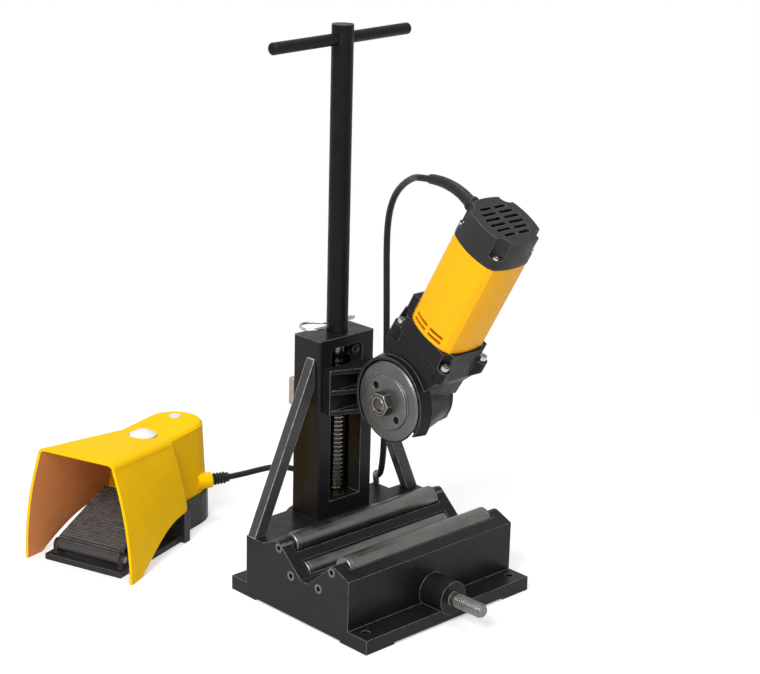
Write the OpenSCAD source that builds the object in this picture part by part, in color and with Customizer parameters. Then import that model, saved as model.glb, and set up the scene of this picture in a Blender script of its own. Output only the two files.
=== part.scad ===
// Motor-driven pipe cutting machine: roller bed, screw column, tilted motor head and hooded foot switch.
// The pipe axis runs along X above y = 0 of the bed; z = 0 is the bench.

/* [Base] */
// Length of the base along the pipe
base_l = 250; // [235:5:320]
// From the pipe axis to the front edge of the flange
flange_front = 98; // [92:1:125]
// From the pipe axis to the front wall
wall_front = 69; // [66:1:80]
// From the pipe axis to the rear edge
base_rear = 121; // [118:1:140]
// Height of the walls
wall_h = 72.5; // [68:0.5:80]
// Thickness of the fixing flange
flange_t = 16.3; // [10:0.1:22]
// Height of the floor of the V bed
bed_floor_z = 49.3; // [45:0.1:52]
// Half width of the floor of the V bed
bed_floor_half = 6; // [3:0.5:7]
// Slope of the V bed, in degrees
bed_angle = 42; // [38:1:45]
// Slope of the outer chamfer, in degrees
chamfer_angle = 23.5; // [18:0.5:27]
// Height of the recess between the foot pads
pad_h = 2; // [1:0.5:4]
// Length of a foot pad
pad_l = 41; // [30:1:50]
// Diameter of the fixing holes
fix_hole_d = 9; // [6.6:0.2:11]
// From the end face to a fixing hole
fix_hole_in = 14; // [10:0.5:20]
// From the flange edge to a fixing hole
fix_hole_edge = 16; // [11:0.5:20]

/* [Rollers] */
// Diameter of the rollers
roller_d = 24.5; // [20:0.5:25]
// Diameter of the roller axles
axle_d = 10; // [7:0.5:12]
// Wall at each end of the roller pockets
end_wall = 15; // [13:1:20]
// Gap between a roller and each end of its pocket
roller_play = 2; // [1:0.5:5]
// From the pipe axis to the outer roller axes
outer_roller_y = 42.2; // [41:0.1:44]
// Height of the outer roller axes
outer_roller_z = 74.9; // [73:0.1:76]
// From the pipe axis to the inner roller axes
inner_roller_y = 22; // [18:0.5:22.5]
// Height of the inner roller axes
inner_roller_z = 49.2; // [46:0.1:50]

/* [Stud] */
// Diameter of the mounting stud
stud_d = 16; // [12:1:20]
// Reach of the stud out of its boss
stud_reach = 44.5; // [30:0.5:70]
// Diameter of the stud boss
stud_boss_d = 38; // [30:1:44]
// Length of the stud boss
stud_boss_l = 32.5; // [26:0.5:40]
// Height of the stud axis
stud_z = 28.5; // [26:0.5:40]

/* [Column] */
// Width of the column
col_w = 82; // [78:1:100]
// Depth of the column
col_d = 43; // [42:0.5:50]
// From the pipe axis to the column's front face
col_front = 73.7; // [73:0.1:76]
// Top of the column above the bench
col_top = 283.3; // [276:0.5:330]
// Width of the slot between the column's lips
slot_w = 46; // [44:0.5:50]
// Thickness of the column's top
col_cap_t = 11.3; // [8:0.1:14]
// Height of the web that joins the column's foot
col_foot_h = 20; // [14:1:24]
// Thickness of the braces
brace_t = 12; // [8:1:16]
// Width of the braces
brace_w = 14; // [10:0.5:20]

/* [Spindle] */
// Diameter of the spindle
spindle_d = 20; // [16:0.5:21]
// Diameter of the handle tube
handle_d = 24; // [22:0.5:28]
// Top of the handle tube above the column
handle_h = 340.5; // [250:5:420]
// Diameter of the T-bar
tbar_d = 13; // [9:0.5:16]
// Length of the T-bar
tbar_l = 230; // [150:5:260]
// Angle of the T-bar at rest, in degrees
tbar_turn = 8.8; // [0:0.1:45]

/* [Head] */
// Height of the wheel axis
head_z = 227; // [222:1:232]
// Width of the slide plate
plate_w = 66.6; // [62:0.2:74]
// Height of the slide plate
plate_h = 52; // [50:1:56]
// Thickness of the slide plate
plate_t = 8.9; // [7:0.1:12]
// Thickness of the carriage ribs
rib_t = 5; // [3:0.5:8]
// Radius of the cutting wheel
wheel_r = 45.2; // [40:0.1:46]
// Radius of the raised middle of the wheel
wheel_hub_r = 31; // [28:0.5:34]
// Diameter of the wheel shaft
shaft_d = 16; // [12:1:18]
// Width across the flats of the wheel nut
nut_af = 24; // [22:1:30]
// Radius of the gear hub
hub_r = 36; // [35.5:0.5:38]
// Lean of the motor, in degrees
motor_tilt = 29.4; // [24:0.2:34]
// Half width of the motor at its corners, across the pipe
motor_hu = 30.8; // [30:0.1:33]
// Half width of the motor at its corners, along the pipe
motor_hx = 28.1; // [27:0.1:31]
// Start of the motor housing above the wheel axis
motor_s0 = 99; // [97:0.5:103]
// Length of the motor housing
motor_l = 117.6; // [112:0.2:140]
// Height of the motor's end cap
cap_h = 36.3; // [33:0.1:44]
// Wall of the motor housing
motor_wall = 2.6; // [2:0.1:3.4]

/* [Foot switch] */
// Length of the foot switch
switch_l = 228; // [215:1:260]
// Width of the hood's mouth at the floor
mouth_w = 150; // [140:1:170]
// Width of the hood's mouth at the roof
mouth_top_w = 100; // [90:1:110]
// Height of the hood's mouth
mouth_h = 140; // [130:1:160]
// Width of the switch box at its roof
box_w = 70; // [64:1:80]
// Height of the switch box's roof
box_h = 124; // [116:1:128]
// Wall of the hood
hood_wall = 3.5; // [2.5:0.1:5]
// Width of the pedal
pedal_w = 84; // [60:1:88]
// Diameter of the reset button
button_d = 32; // [24:1:34]

/* [Cord] */
// Diameter of the cord
cord_d = 7.4; // [6:0.1:7.4]

/* [Hidden] */
$fn = 48;
hull_faces = 32;
over = 1;
fit = 0.05;
clear = 0.3;

// Base, worked out
base_half = base_l / 2;
ridge_y = (wall_h + wall_front * tan(chamfer_angle) - bed_floor_z + bed_floor_half * tan(bed_angle))
    / (tan(bed_angle) + tan(chamfer_angle));
ridge_z = bed_floor_z + (ridge_y - bed_floor_half) * tan(bed_angle);
ridge_flat = 3;
pocket_clear = 1.25;
pocket_half = base_half - end_wall;
roller_l = 2 * (pocket_half - roller_play);
lug_l = 32;
lug_d = 25;
fix_x = base_half - fix_hole_in;
fix_front_y = -flange_front + fix_hole_edge;
fix_rear_y = base_rear - fix_hole_edge;
fix_mid_y = (fix_front_y + fix_rear_y) / 2;
roller_places = [[-outer_roller_y, outer_roller_z], [-inner_roller_y, inner_roller_z],
    [inner_roller_y, inner_roller_z], [outer_roller_y, outer_roller_z]];
roller_edge = 1;
groove_at = 4;
groove_w = 0.8;
hex_socket_d = 6;
hex_socket_depth = 5;
stud_hole_depth = 25;
stud_neck_l = 5;
stud_neck_cut = 1;
stud_neck_d = stud_d - 2 * stud_neck_cut;
stud_chamfer = 1.5;

// Column, worked out
col_mid_y = col_front + col_d / 2;
slot_half = slot_w / 2;
lip_depth = 19;
cavity_side = 7;
cavity_half = slot_half + cavity_side;
cavity_d = 15;
rear_slot_half = 14;
slot_z0 = wall_h + col_foot_h;
slot_z1 = col_top - col_cap_t;
slot_corner = 6;
col_edge = 2.5;
spindle_in = 17.1;
spindle_y = col_front + spindle_in;
col_bolt_x = 29;
col_bolt_in = 10;
col_bolt_ys = [col_front + col_bolt_in, col_front + col_d - col_bolt_in];
col_bolt_d = 10;
col_bolt_head_d = 16;
col_bolt_head_h = 10;
col_bolt_seat_z = 42;
col_bolt_grip = 16;
brace_in = 8.3;
brace_y = col_front + brace_in;
brace_drop = 21;
brace_top_z = col_top - brace_drop;
brace_lean = atan((base_half - col_w / 2) / (brace_top_z - wall_h));
stop_x = 16;
stop_drop = 8;
stop_z = slot_z1 - stop_drop;
stop_lug_x = 10.6;
stop_lug_h = 15;
stop_lug_z = slot_z1 - stop_lug_h;
stop_lug_in = 8;
stop_lug_y = col_front + stop_lug_in;
stop_d = 8;
stop_head_d = 12.5;
stop_head_h = 6;
stop_l = 9;
lower_bush_h = 12;

// Spindle, worked out
journal_step = 2;
pilot_step = 4;
journal_d = spindle_d - 2 * journal_step;
pilot_d = spindle_d - 2 * pilot_step;
bush_wall = 4;
shoulder_z = slot_z1 - clear;
pilot_rise = 3.5;
journal_rise = 30;
handle_top = col_top + handle_h;
handle_bore = journal_d + 2 * fit;
handle_bore_h = 32;
clip_rise = 10;
clip_z = col_top + clip_rise;
clip_wire = 3;
clip_play = 0.2;
clip_hole_d = clip_wire + 2 * clip_play;
clip_reach = 55;
clip_points_share = [[0.38, 0, 0.03], [0.22, 0, 0], [0, 0, 0], [-0.26, 0, 0], [-0.42, -0.02, 0.02],
    [-0.62, -0.06, 0.05], [-0.82, -0.06, 0.09], [-0.94, 0, 0.12], [-0.99, 0.08, 0.13],
    [-0.96, 0.16, 0.13], [-0.84, 0.2, 0.11], [-0.62, 0.19, 0.07], [-0.4, 0.2, 0.04], [-0.2, 0.25, 0.02],
    [0, 0.265, 0.02], [0.2, 0.25, 0.03], [0.36, 0.21, 0.06]];
tbar_drop = 15.2;
tbar_z = handle_top - tbar_drop;

// Head, worked out
plate_y1 = col_front - clear;
plate_y0 = plate_y1 - plate_t;
plate_below = 28;
plate_z0 = head_z - plate_below;
guard_x0 = -7;
guard_x1 = 8;
guard_out = 4.8;
guard_r = wheel_r + guard_out;
guard_bulge = 3;
guard_gap = 2.3;
guard_bore_r = wheel_r + guard_gap;
guard_floor_x = 3;
guard_flat = 29.5;
hub_x1 = 57;
motor_x = 30.5;
gear_cavity_r = 30;
gear_cavity_x0 = 17.2;
cover_t = 5;
cover_x0 = hub_x1 - cover_t;
block_below = 24;
block_z0 = head_z - block_below;
block_h = 37;
nut_r = 14;
back_plate_t = 8;
back_plate_y = col_front + col_d + clear;
back_plate_below = 34;
back_plate_z0 = head_z - back_plate_below;
back_plate_h = 40;
back_screw_d = 8;
back_screw_head_d = 13;
back_screw_head_h = 8;
back_screw_low = 7;
back_screw_high = 11;
back_screw_zs = [block_z0 + back_screw_low, block_z0 + block_h - back_screw_high];

// Wheel and shaft, worked out
wheel_face_x = -7.6;
wheel_rim_t = 3;
wheel_hub_rise = 3;
wheel_hub_x0 = wheel_face_x - wheel_hub_rise;
wheel_hub_x1 = -1.6;
wheel_bevel = 2;
wheel_hole_r = 2.75;
wheel_hole_at = 22.8;
nut_h = 11.4;
nut_bevel = 1.6;
shaft_show = 3;
shaft_end_x = wheel_hub_x0 - nut_h - shaft_show;
shaft_dome_r = 12;
shoulder_r = 13;
bearing_r = 21;
bearing_in_r = 12;
bearing_x = [5, 17];
rear_bearing_r = 17;
rear_bearing_in = 4;
rear_bearing_sunk = 3;
rear_bearing_x = [cover_x0 - rear_bearing_in, cover_x0 + rear_bearing_sunk];
tail_r = 8;
crown_r = 27;
crown_teeth = 36;
crown_tooth_h = 3;
crown_tooth_w = 2.2;
crown_inner_r = 14;
crown_t = 6;
pinion_r = 7;
pinion_teeth = 9;
pinion_root_r = 5.2;
pinion_s = [14.5, 26];
crown_tip_x = motor_x + pinion_r + clear;

// Motor, worked out in its own frame: X along the pipe, u across it, s up the motor axis
bulge_x = 7;
bulge_u = 4;
corner_cut = 2.5;
flange_hx = 33;
flange_u0 = -38;
flange_u1 = 44;
flange_s0 = 60;
screw_x = 29;
screw_u = 38;
screw_ledge_s = 82;
screw_head_r = 4.4;
screw_head_h = 6;
screw_r = 3;
screw_l = 12;
lug_r = 6.8;
notch_r = 7.2;
tongue_u = [31.6, 41.5];
tongue_top_s = 127;
planet_s = [38, 72];
planet_r = 24;
armature_r = 4;
armature_grip = 10;
armature_s0 = planet_s[1] - armature_grip;
core_at = 27;
core_l = 60;
core_s = [motor_s0 + core_at, motor_s0 + core_at + core_l];
core_bore_r = 18.7;
rotor_gap = 0.5;
rotor_r = core_bore_r - rotor_gap;
commutator_r = 11;
commutator_at = 10;
commutator_l = 16;
commutator_s = [core_s[1] + commutator_at, core_s[1] + commutator_at + commutator_l];
fan_at = 3;
fan_l = 12;
fan_s = [motor_s0 + fan_at, motor_s0 + fan_at + fan_l];
fan_r = 25;
fan_hub_r = 9;
fan_blades = 9;
fan_blade_t = 1.6;
brush_w = 10;
cap_s0 = motor_s0 + motor_l;
cap_s1 = cap_s0 + cap_h;
cap_wall = 3;
cap_lip = 0.6;
cap_notch_r = 9.5;
cap_notch_x = 30;
cap_notch_u = 31.5;
cap_screw_at = 13;
cap_screw_s = cap_s0 + cap_screw_at;
cap_screw_r = 3.5;
cap_screw_h = 2.5;
cap_screw_in = 4;
grille_rows = 6;
grille_pitch = 8;
grille_slot_w = 4;
grille_rib = 4;
grille_len_share = [0.72, 0.9, 1, 1, 0.9, 0.72];
grille_len = 23;
motor_bearing_r = 11;
motor_bearing_at = 8;
motor_bearing_l = 7;
motor_bearing_s = [cap_s0 + motor_bearing_at, cap_s0 + motor_bearing_at + motor_bearing_l];
vent_rows = [[2.4, 22.5], [-20.5, -2.4]];
vent_at = 4.5;
vent_pitch = 6.5;
vent_s = [motor_s0 + vent_at, motor_s0 + vent_at + vent_pitch];
vent_w = 3;

// Cable sleeve and cords, points chosen by hand in the bed's frame
sleeve_root_r = 7;
sleeve_tip_r = 5.4;
sleeve_x = -10.5;
sleeve_at = 28.1;
sleeve_s = cap_s0 + sleeve_at;
sleeve_reach = 67.2;
sleeve_path_share = [[0, 0, 0], [0, 0.12, 0], [0.015, 0.284, -0.01], [0.034, 0.482, -0.054],
    [0.06, 0.707, -0.139], [0.089, 0.917, -0.253], [0.101, 1, -0.311]];
motor_route = [[26.8, -20.1, 472.3], [27.7, -13.2, 471.5], [29.2, -3, 470.4], [34, 8, 468], [42, 23, 463],
    [50, 43, 452.5], [57, 62, 437], [62.5, 75.5, 417], [66, 82.5, 394], [67, 84, 368], [66, 82, 338],
    [64, 78.5, 300], [62, 75, 253], [61.5, 74.5, 205], [62, 75, 160], [64, 78, 128],
    [70, 87, 103], [82, 103.5, 89.5], [92.5, 115, 84.5], [102.3, 127.5, 79.7], [108.5, 135, 72.9],
    [113.9, 139.7, 63.5], [116.6, 141.8, 51.8], [116.4, 143.8, 32.1], [117.9, 147.7, 20.6],
    [120.2, 153.1, 13.2], [122, 159, 8.5], [123.4, 166.2, 5.3], [124.2, 174.7, 4], [123.6, 183.1, 4]];
switch_route = [[123.6, 198.8, 12.4], [123.6, 206, 12.6], [124.5, 216, 15], [124, 232, 22],
    [118, 249, 31], [106, 264, 40], [88, 274, 47], [68, 277.5, 51], [50, 278, 52.5], [30, 280, 52.5],
    [11.2, 283.7, 52], [4.5, 285.6, 52]];
coil_x = 75.6;
coil_y = 191;
coil_r_out = 48;
coil_r_in = 32;
coil_turns = 4;
coil_low_z = 4;
coil_high_z = 12.4;
coil_ring_step = 15;
cord_sides = 8;
coil_sides = 6;

// Foot switch, worked out in its own frame: u to the rear, v across, z up
switch_x = -227.7;
switch_y = 270.7;
switch_turn = 18;
hood_stations = 12;
hood_l = 136;
arch_start = 22;
arch_end = 120;
base_top_z = 38;
hood_rear_half = 60;
box_u0 = 132;
box_draft = 4;
rear_end_l = 36;
button_u = 129;
button_recess = 4.5;
button_rise = 7;
button_stem_r = 6;
button_stem_l = 18;
lens_u = 206;
lens_v = 7;
lens_r = 7;
lens_h = 2.2;
plate_front_u = 8;
plate_thick = 7;
pedal_slope = 20;
pedal_l = 104;
pedal_nose = 9;
pedal_t = 7;
pedal_rib_h = 1.4;
pedal_rib_w = 1.8;
pedal_rib_pitch = 3.8;
hinge_u = 24;
hinge_z = 15.5;
hinge_eye_r = 7;
hinge_lug_t = 5;
hinge_pin_r = 4;
hinge_half = 48;
spring_u = 88;
spring_r = 9;
spring_wire = 2;
gland_dir = -34;
gland_ahead = 1.3;
gland_sunk = 0.8;
gland_u = switch_l - rear_end_l - gland_ahead;
gland_v = gland_sunk - box_w / 2;
gland_z = 52;
gland_boss_l = 18.5;
gland_boss_r = 9.5;
gland_r = 7.4;
gland_l = 23;
gland_ribs = 5;

// Small sizes of the pieces
socket_share = 0.9;
head_play = 1;
neck_belly_u = 8;
neck_belly_s = 17.5;
neck_flare = 2.3;
pinion_gap = 3;
button_wall = 3;
button_play = 0.6;
tbar_edge = 1.5;
back_screw_grip = back_plate_y - spindle_y - nut_r - 2 * clear;
arm_step = 5;
arm_rise = 2;
arm_core_x = 8;
arm_sink = 6;
fairing_share = [[-0.886, 0.332], [-0.942, 0.15], [-0.916, -0.334], [-0.76, -0.59], [0.76, -0.59],
    [0.916, -0.334], [0.942, 0.15], [0.886, 0.332], [0.6, 0.72], [-0.6, 0.72]];
neck_hx = 30;
flange_s1 = 78;
lug_h = 14;
lug_fall = 9;
tongue_hx = 26;
tongue_corner = 7;
cover_screw_at = 33;
cover_gap = 1;
cover_screw_d = 4;
cover_screw_head_d = 7;
cover_screw_grip = 10;
shaft_land = 2;
bearing_dish = 1;
pinion_grip = 10;
vent_depth = 10;
sleeve_sides = 12;
roof_r = 9;
shoulder_l = 8;
shoulder_in = 6;
button_boss_h = 24;
button_edge_h = 1.2;
button_travel = 4;
button_dome_r = 22;
base_ledge = 2.5;
pedal_rise = 5;
gland_groove = 1.8;
gland_taper = 0.35;

// Frames
module in_frame() translate([0, -fix_mid_y, 0]) children();
module along_x(r, x0, x1) translate([x0, 0, 0]) rotate([0, 90, 0]) cylinder(r = r, h = x1 - x0);
module at_wheel() translate([0, 0, head_z]) children();
module at_motor() translate([motor_x, 0, head_z]) rotate([motor_tilt, 0, 0]) children();
module at_spindle() translate([0, spindle_y, 0]) children();
module at_switch() translate([switch_x, switch_y, 0]) rotate([0, 0, switch_turn]) children();
module both_x() {
    children();
    mirror([1, 0, 0]) children();
}
module ring(r_out, r_in, h) difference() {
    cylinder(r = r_out, h = h);
    translate([0, 0, -over]) cylinder(r = r_in, h = h + 2 * over);
}
module cap_screw(d, head_d, head_h, l) difference() {
    union() {
        translate([0, 0, -l]) cylinder(d = d, h = l + over / 2);
        cylinder(d = head_d, h = head_h);
    }
    translate([0, 0, head_h / 2]) cylinder(d = d * socket_share, h = head_h, $fn = 6);
}

// Swept tube: one closed skin round rings of points
function unit(v) = v / norm(v);
function tangent(p, i) = unit(p[min(i + 1, len(p) - 1)] - p[max(i - 1, 0)]);
function side_of(t) = abs(t[2]) > 0.95 ? unit(cross([0, 1, 0], t)) : unit(cross([0, 0, 1], t));
function carried_all(p, i = 0, prev = undef) = i >= len(p) ? []
    : let (t = tangent(p, i), s = is_undef(prev) ? side_of(t) : unit(prev - t * (prev * t)))
        concat([s], carried_all(p, i + 1, s));
function spline_at(p, i, f) = let (
        a = p[max(i - 1, 0)], b = p[i], c = p[i + 1], d = p[min(i + 2, len(p) - 1)])
    (2 * b + (c - a) * f + (2 * a - 5 * b + 4 * c - d) * f * f + (3 * b - a - 3 * c + d) * f * f * f) / 2;
function smooth_route(p, n) = concat(
    [for (i = [0 : len(p) - 2], k = [0 : n - 1]) spline_at(p, i, k / n)], [p[len(p) - 1]]);
function route_length(p) = len(p) < 2 ? 0 : route_sum(p, 1, 0);
function route_sum(p, i, total) = i >= len(p)
    ? total : route_sum(p, i + 1, total + norm(p[i] - p[i - 1]));
module swept_tube(p, radii, sides) {
    frames = carried_all(p);
    n = len(p);
    points = [for (i = [0 : n - 1], k = [0 : sides - 1])
        let (t = tangent(p, i), s = frames[i], o = cross(t, s), a = 360 * k / sides)
            p[i] + radii[i] * (s * cos(a) + o * sin(a))];
    walls = [for (i = [0 : n - 2], k = [0 : sides - 1])
        let (a = i * sides + k, b = i * sides + (k + 1) % sides) each
            [[a, b + sides, b], [a, a + sides, b + sides]]];
    ends = concat([for (k = [1 : sides - 2]) [0, k, k + 1]],
        [for (k = [1 : sides - 2]) [(n - 1) * sides, (n - 1) * sides + k + 1, (n - 1) * sides + k]]);
    polyhedron(points = points, faces = concat(walls, ends));
}

// Base
function bed_half(sign) = [[sign * bed_floor_half, bed_floor_z],
    [sign * (ridge_y - ridge_flat), ridge_z - ridge_flat * tan(bed_angle)],
    [sign * (ridge_y - ridge_flat / 3), ridge_z - ridge_flat * 0.55],
    [sign * (ridge_y + ridge_flat), ridge_z - ridge_flat * tan(chamfer_angle) - ridge_flat * 0.12],
    [sign * wall_front, wall_h]];
function reversed(p) = [for (i = [len(p) - 1 : -1 : 0]) p[i]];
module base_outline() polygon(concat([[-flange_front, 0], [-flange_front, flange_t],
    [-wall_front, flange_t]],
    reversed(bed_half(-1)), bed_half(1), [[base_rear, wall_h], [base_rear, 0]]));
module base_block() color("#232224") in_frame() difference() {
    union() {
        translate([-base_half, 0, 0]) rotate([90, 0, 90]) linear_extrude(base_l) base_outline();
        translate([0, -wall_front, stud_z]) rotate([90, 0, 0]) cylinder(d = stud_boss_d, h = stud_boss_l);
    }
    translate([-base_half - over, -flange_front + pad_l, -over])
        cube([base_l + 2 * over, base_rear + flange_front - 2 * pad_l, pad_h + over]);
    translate([-base_half + pad_l, -flange_front - over, -over])
        cube([base_l - 2 * pad_l, base_rear + flange_front + 2 * over, pad_h + over]);
    both_x() translate([base_half - lug_l, base_rear - lug_d, flange_t])
        cube([lug_l + over, lug_d + over, wall_h]);
    for (x = [-fix_x, fix_x], y = [fix_front_y, fix_rear_y])
        translate([x, y, -over]) cylinder(d = fix_hole_d, h = flange_t + 2 * over);
    for (p = roller_places) translate([0, p[0], p[1]]) {
        along_x(roller_d / 2 + pocket_clear, -pocket_half, pocket_half);
        along_x(axle_d / 2 + fit, -base_half - over, base_half + over);
    }
    translate([0, -wall_front - stud_boss_l - over, stud_z]) rotate([-90, 0, 0])
        cylinder(r = stud_d / 2 + fit, h = stud_hole_depth + over);
    both_x() for (y = col_bolt_ys) translate([col_bolt_x, y, 0]) {
        translate([0, 0, -over]) cylinder(d = col_bolt_head_d + 2 * head_play,
            h = col_bolt_seat_z + over);
        cylinder(r = col_bolt_d / 2 + clear, h = wall_h + over);
    }
}
module mounting_stud() color("#8d8c8a") in_frame()
    translate([0, -wall_front - stud_boss_l + stud_hole_depth, stud_z]) rotate([90, 0, 0]) union() {
        cylinder(d = stud_d, h = stud_hole_depth);
        cylinder(d = stud_neck_d, h = stud_hole_depth + stud_neck_l);
        translate([0, 0, stud_hole_depth + stud_neck_l])
            cylinder(d = stud_d, h = stud_reach - stud_neck_l - stud_chamfer);
        translate([0, 0, stud_hole_depth + stud_reach - stud_chamfer])
            cylinder(d1 = stud_d, d2 = stud_d - 2 * stud_chamfer, h = stud_chamfer);
    }
module roller_axles() color("#9b9a98") in_frame() for (p = roller_places) translate([0, p[0], p[1]])
    difference() {
    along_x(axle_d / 2, -base_half, base_half);
    translate([-base_half - over, 0, 0]) rotate([0, 90, 0])
        cylinder(d = hex_socket_d, h = hex_socket_depth + over, $fn = 6);
}
module roller(p) color("#6f706e") in_frame() translate([0, p[0], p[1]]) rotate([0, 90, 0])
    translate([0, 0, -roller_l / 2]) rotate_extrude() polygon([
        [axle_d / 2 + fit, 0], [roller_d / 2 - roller_edge, 0], [roller_d / 2, roller_edge],
        [roller_d / 2, groove_at], [roller_d / 2 - groove_w, groove_at + groove_w / 2],
            [roller_d / 2, groove_at + groove_w],
        [roller_d / 2, roller_l - groove_at - groove_w],
        [roller_d / 2 - groove_w, roller_l - groove_at - groove_w / 2],
        [roller_d / 2, roller_l - groove_at], [roller_d / 2, roller_l - roller_edge],
        [roller_d / 2 - roller_edge, roller_l], [axle_d / 2 + fit, roller_l]]);

// Column
module rounded_block(w, d, r) union() {
    translate([-w / 2 + r, -d / 2]) square([w - 2 * r, d]);
    translate([-w / 2, -d / 2 + r]) square([w, d - 2 * r]);
    for (x = [-1, 1], y = [-1, 1]) translate([x * (w / 2 - r), y * (d / 2 - r)]) circle(r = r);
}
module arched_slot(half, y0, y1) translate([0, y1, 0]) rotate([90, 0, 0]) linear_extrude(y1 - y0) union()
    {
    translate([-half, slot_z0]) square([2 * half, slot_z1 - slot_z0 - slot_corner]);
    translate([-half + slot_corner, slot_z0]) square([2 * (half - slot_corner), slot_z1 - slot_z0]);
    for (s = [-1, 1]) translate([s * (half - slot_corner), slot_z1 - slot_corner])
        circle(r = slot_corner);
}
module column() color("#28272a") in_frame() difference() {
    union() {
        difference() {
            translate([0, col_mid_y, wall_h]) linear_extrude(col_top - wall_h)
                rounded_block(col_w, col_d, col_edge);
            arched_slot(slot_half, col_front - over, col_front + lip_depth + over);
            arched_slot(cavity_half, col_front + lip_depth, col_front + lip_depth + cavity_d);
            arched_slot(rear_slot_half, col_front + lip_depth + cavity_d - over,
                col_front + col_d + over);
        }
        translate([stop_lug_x, stop_lug_y, stop_lug_z])
            cube([slot_half + over - stop_lug_x, col_front + lip_depth - stop_lug_y,
                slot_z1 + over - stop_lug_z]);
    }
    at_spindle() translate([0, 0, slot_z1 - over])
        cylinder(r = journal_d / 2 + bush_wall, h = col_cap_t + 2 * over);
    at_spindle() translate([0, 0, slot_z0 - lower_bush_h])
        cylinder(r = pilot_d / 2 + bush_wall, h = lower_bush_h + over);
    translate([stop_x, stop_lug_y - over, stop_z]) rotate([-90, 0, 0])
        cylinder(r = stop_d / 2 + fit, h = stop_l + over + clear);
    both_x() for (y = col_bolt_ys) translate([col_bolt_x, y, wall_h - over])
        cylinder(r = col_bolt_d / 2 + fit, h = col_bolt_grip + over + clear);
}
module column_bolts() color("#8f8e8c") in_frame() both_x() for (y = col_bolt_ys)
    translate([col_bolt_x, y, col_bolt_seat_z]) mirror([0, 0, 1])
        cap_screw(col_bolt_d, col_bolt_head_d, col_bolt_head_h, wall_h - col_bolt_seat_z + col_bolt_grip);
module brace() in_frame() translate([0, brace_y + brace_t, 0]) rotate([90, 0, 0]) linear_extrude(brace_t)
    polygon([[col_w / 2, brace_top_z], [base_half, wall_h],
        [base_half - brace_w / cos(brace_lean), wall_h],
        [col_w / 2, brace_top_z - brace_w / sin(brace_lean)]]);
module right_brace() color("#2b2a2d") brace();
module left_brace() color("#2b2a2d") mirror([1, 0, 0]) brace();
module stop_screw() color("#4a4a4b") in_frame() translate([stop_x, stop_lug_y, stop_z]) rotate([90, 0, 0])
    cap_screw(stop_d, stop_head_d, stop_head_h, stop_l);

// Spindle
module upper_bush() color("#a3874f") in_frame() at_spindle() translate([0, 0, slot_z1])
    ring(journal_d / 2 + bush_wall, journal_d / 2 + fit, col_cap_t);
module lower_bush() color("#a3874f") in_frame() at_spindle() translate([0, 0, slot_z0 - lower_bush_h])
    ring(pilot_d / 2 + bush_wall, pilot_d / 2 + fit, lower_bush_h);
module clip_hole() translate([0, 0, clip_z]) rotate([0, 90, 0])
    cylinder(d = clip_hole_d, h = handle_d + 2 * over, center = true);
module spindle() color("#7d7c7a") in_frame() at_spindle() difference() {
    union() {
        translate([0, 0, slot_z0 - lower_bush_h + clear])
            cylinder(d = pilot_d, h = lower_bush_h + pilot_rise);
        translate([0, 0, slot_z0 + pilot_rise])
            cylinder(d = spindle_d, h = shoulder_z - slot_z0 - pilot_rise);
        translate([0, 0, slot_z0 + pilot_rise])
            cylinder(d = journal_d, h = col_top + journal_rise - slot_z0 - pilot_rise);
    }
    clip_hole();
}
module handle_tube() color("#2a2a2c") in_frame() at_spindle() difference() {
    translate([0, 0, col_top + clear]) cylinder(d = handle_d, h = handle_h - clear);
    translate([0, 0, col_top]) cylinder(d = handle_bore, h = handle_bore_h);
    clip_hole();
    translate([0, 0, tbar_z]) rotate([0, 90, tbar_turn])
        cylinder(r = tbar_d / 2 + fit, h = handle_d + 2 * over, center = true);
}
module t_bar() color("#2a2a2c") in_frame() at_spindle() translate([0, 0, tbar_z])
    rotate([0, 90, tbar_turn])
    translate([0, 0, -tbar_l / 2]) rotate_extrude()
        polygon([[0, 0], [tbar_d / 2 - tbar_edge, 0], [tbar_d / 2, tbar_edge],
        [tbar_d / 2, tbar_l - tbar_edge], [tbar_d / 2 - tbar_edge, tbar_l], [0, tbar_l]]);
module handle_clip() color("#c9c8c5") in_frame() at_spindle() translate([0, 0, clip_z])
    let (route = smooth_route(clip_reach * clip_points_share, 2))
        swept_tube(route, [for (p = route) clip_wire / 2], cord_sides);

// Carriage
module slide_block() color("#6c6b69") in_frame() difference() {
    translate([0, plate_y1, block_z0]) linear_extrude(block_h) union() {
        translate([-slot_half + clear, 0]) square([slot_w - 2 * clear, lip_depth + cavity_d]);
        translate([-rear_slot_half + clear, 0])
            square([2 * (rear_slot_half - clear), back_plate_y - plate_y1]);
    }
    at_spindle() translate([0, 0, block_z0 - over]) cylinder(r = nut_r + fit, h = block_h + 2 * over);
    for (z = back_screw_zs) translate([0, back_plate_y + over, z]) rotate([90, 0, 0])
        cylinder(r = back_screw_d / 2 + fit, h = back_plate_y - spindle_y - nut_r + over);
}
module spindle_nut() color("#b08d4c") in_frame() at_spindle() translate([0, 0, block_z0])
    ring(nut_r, spindle_d / 2 + fit, block_h);
module back_plate() color("#77777a") in_frame() difference() {
    translate([0, back_plate_y + back_plate_t, back_plate_z0 + back_plate_h / 2]) rotate([90, 0, 0])
        linear_extrude(back_plate_t) rounded_block(col_w - 2 * lip_depth, back_plate_h, col_edge);
    for (z = back_screw_zs) translate([0, back_plate_y - over, z]) rotate([-90, 0, 0])
        cylinder(r = back_screw_d / 2 + fit, h = back_plate_t + 2 * over);
}
module back_plate_screws() color("#9a9997") in_frame() for (z = back_screw_zs)
    translate([0, back_plate_y + back_plate_t, z]) rotate([-90, 0, 0])
        cap_screw(back_screw_d, back_screw_head_d, back_screw_head_h, back_plate_t + back_screw_grip);

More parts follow.
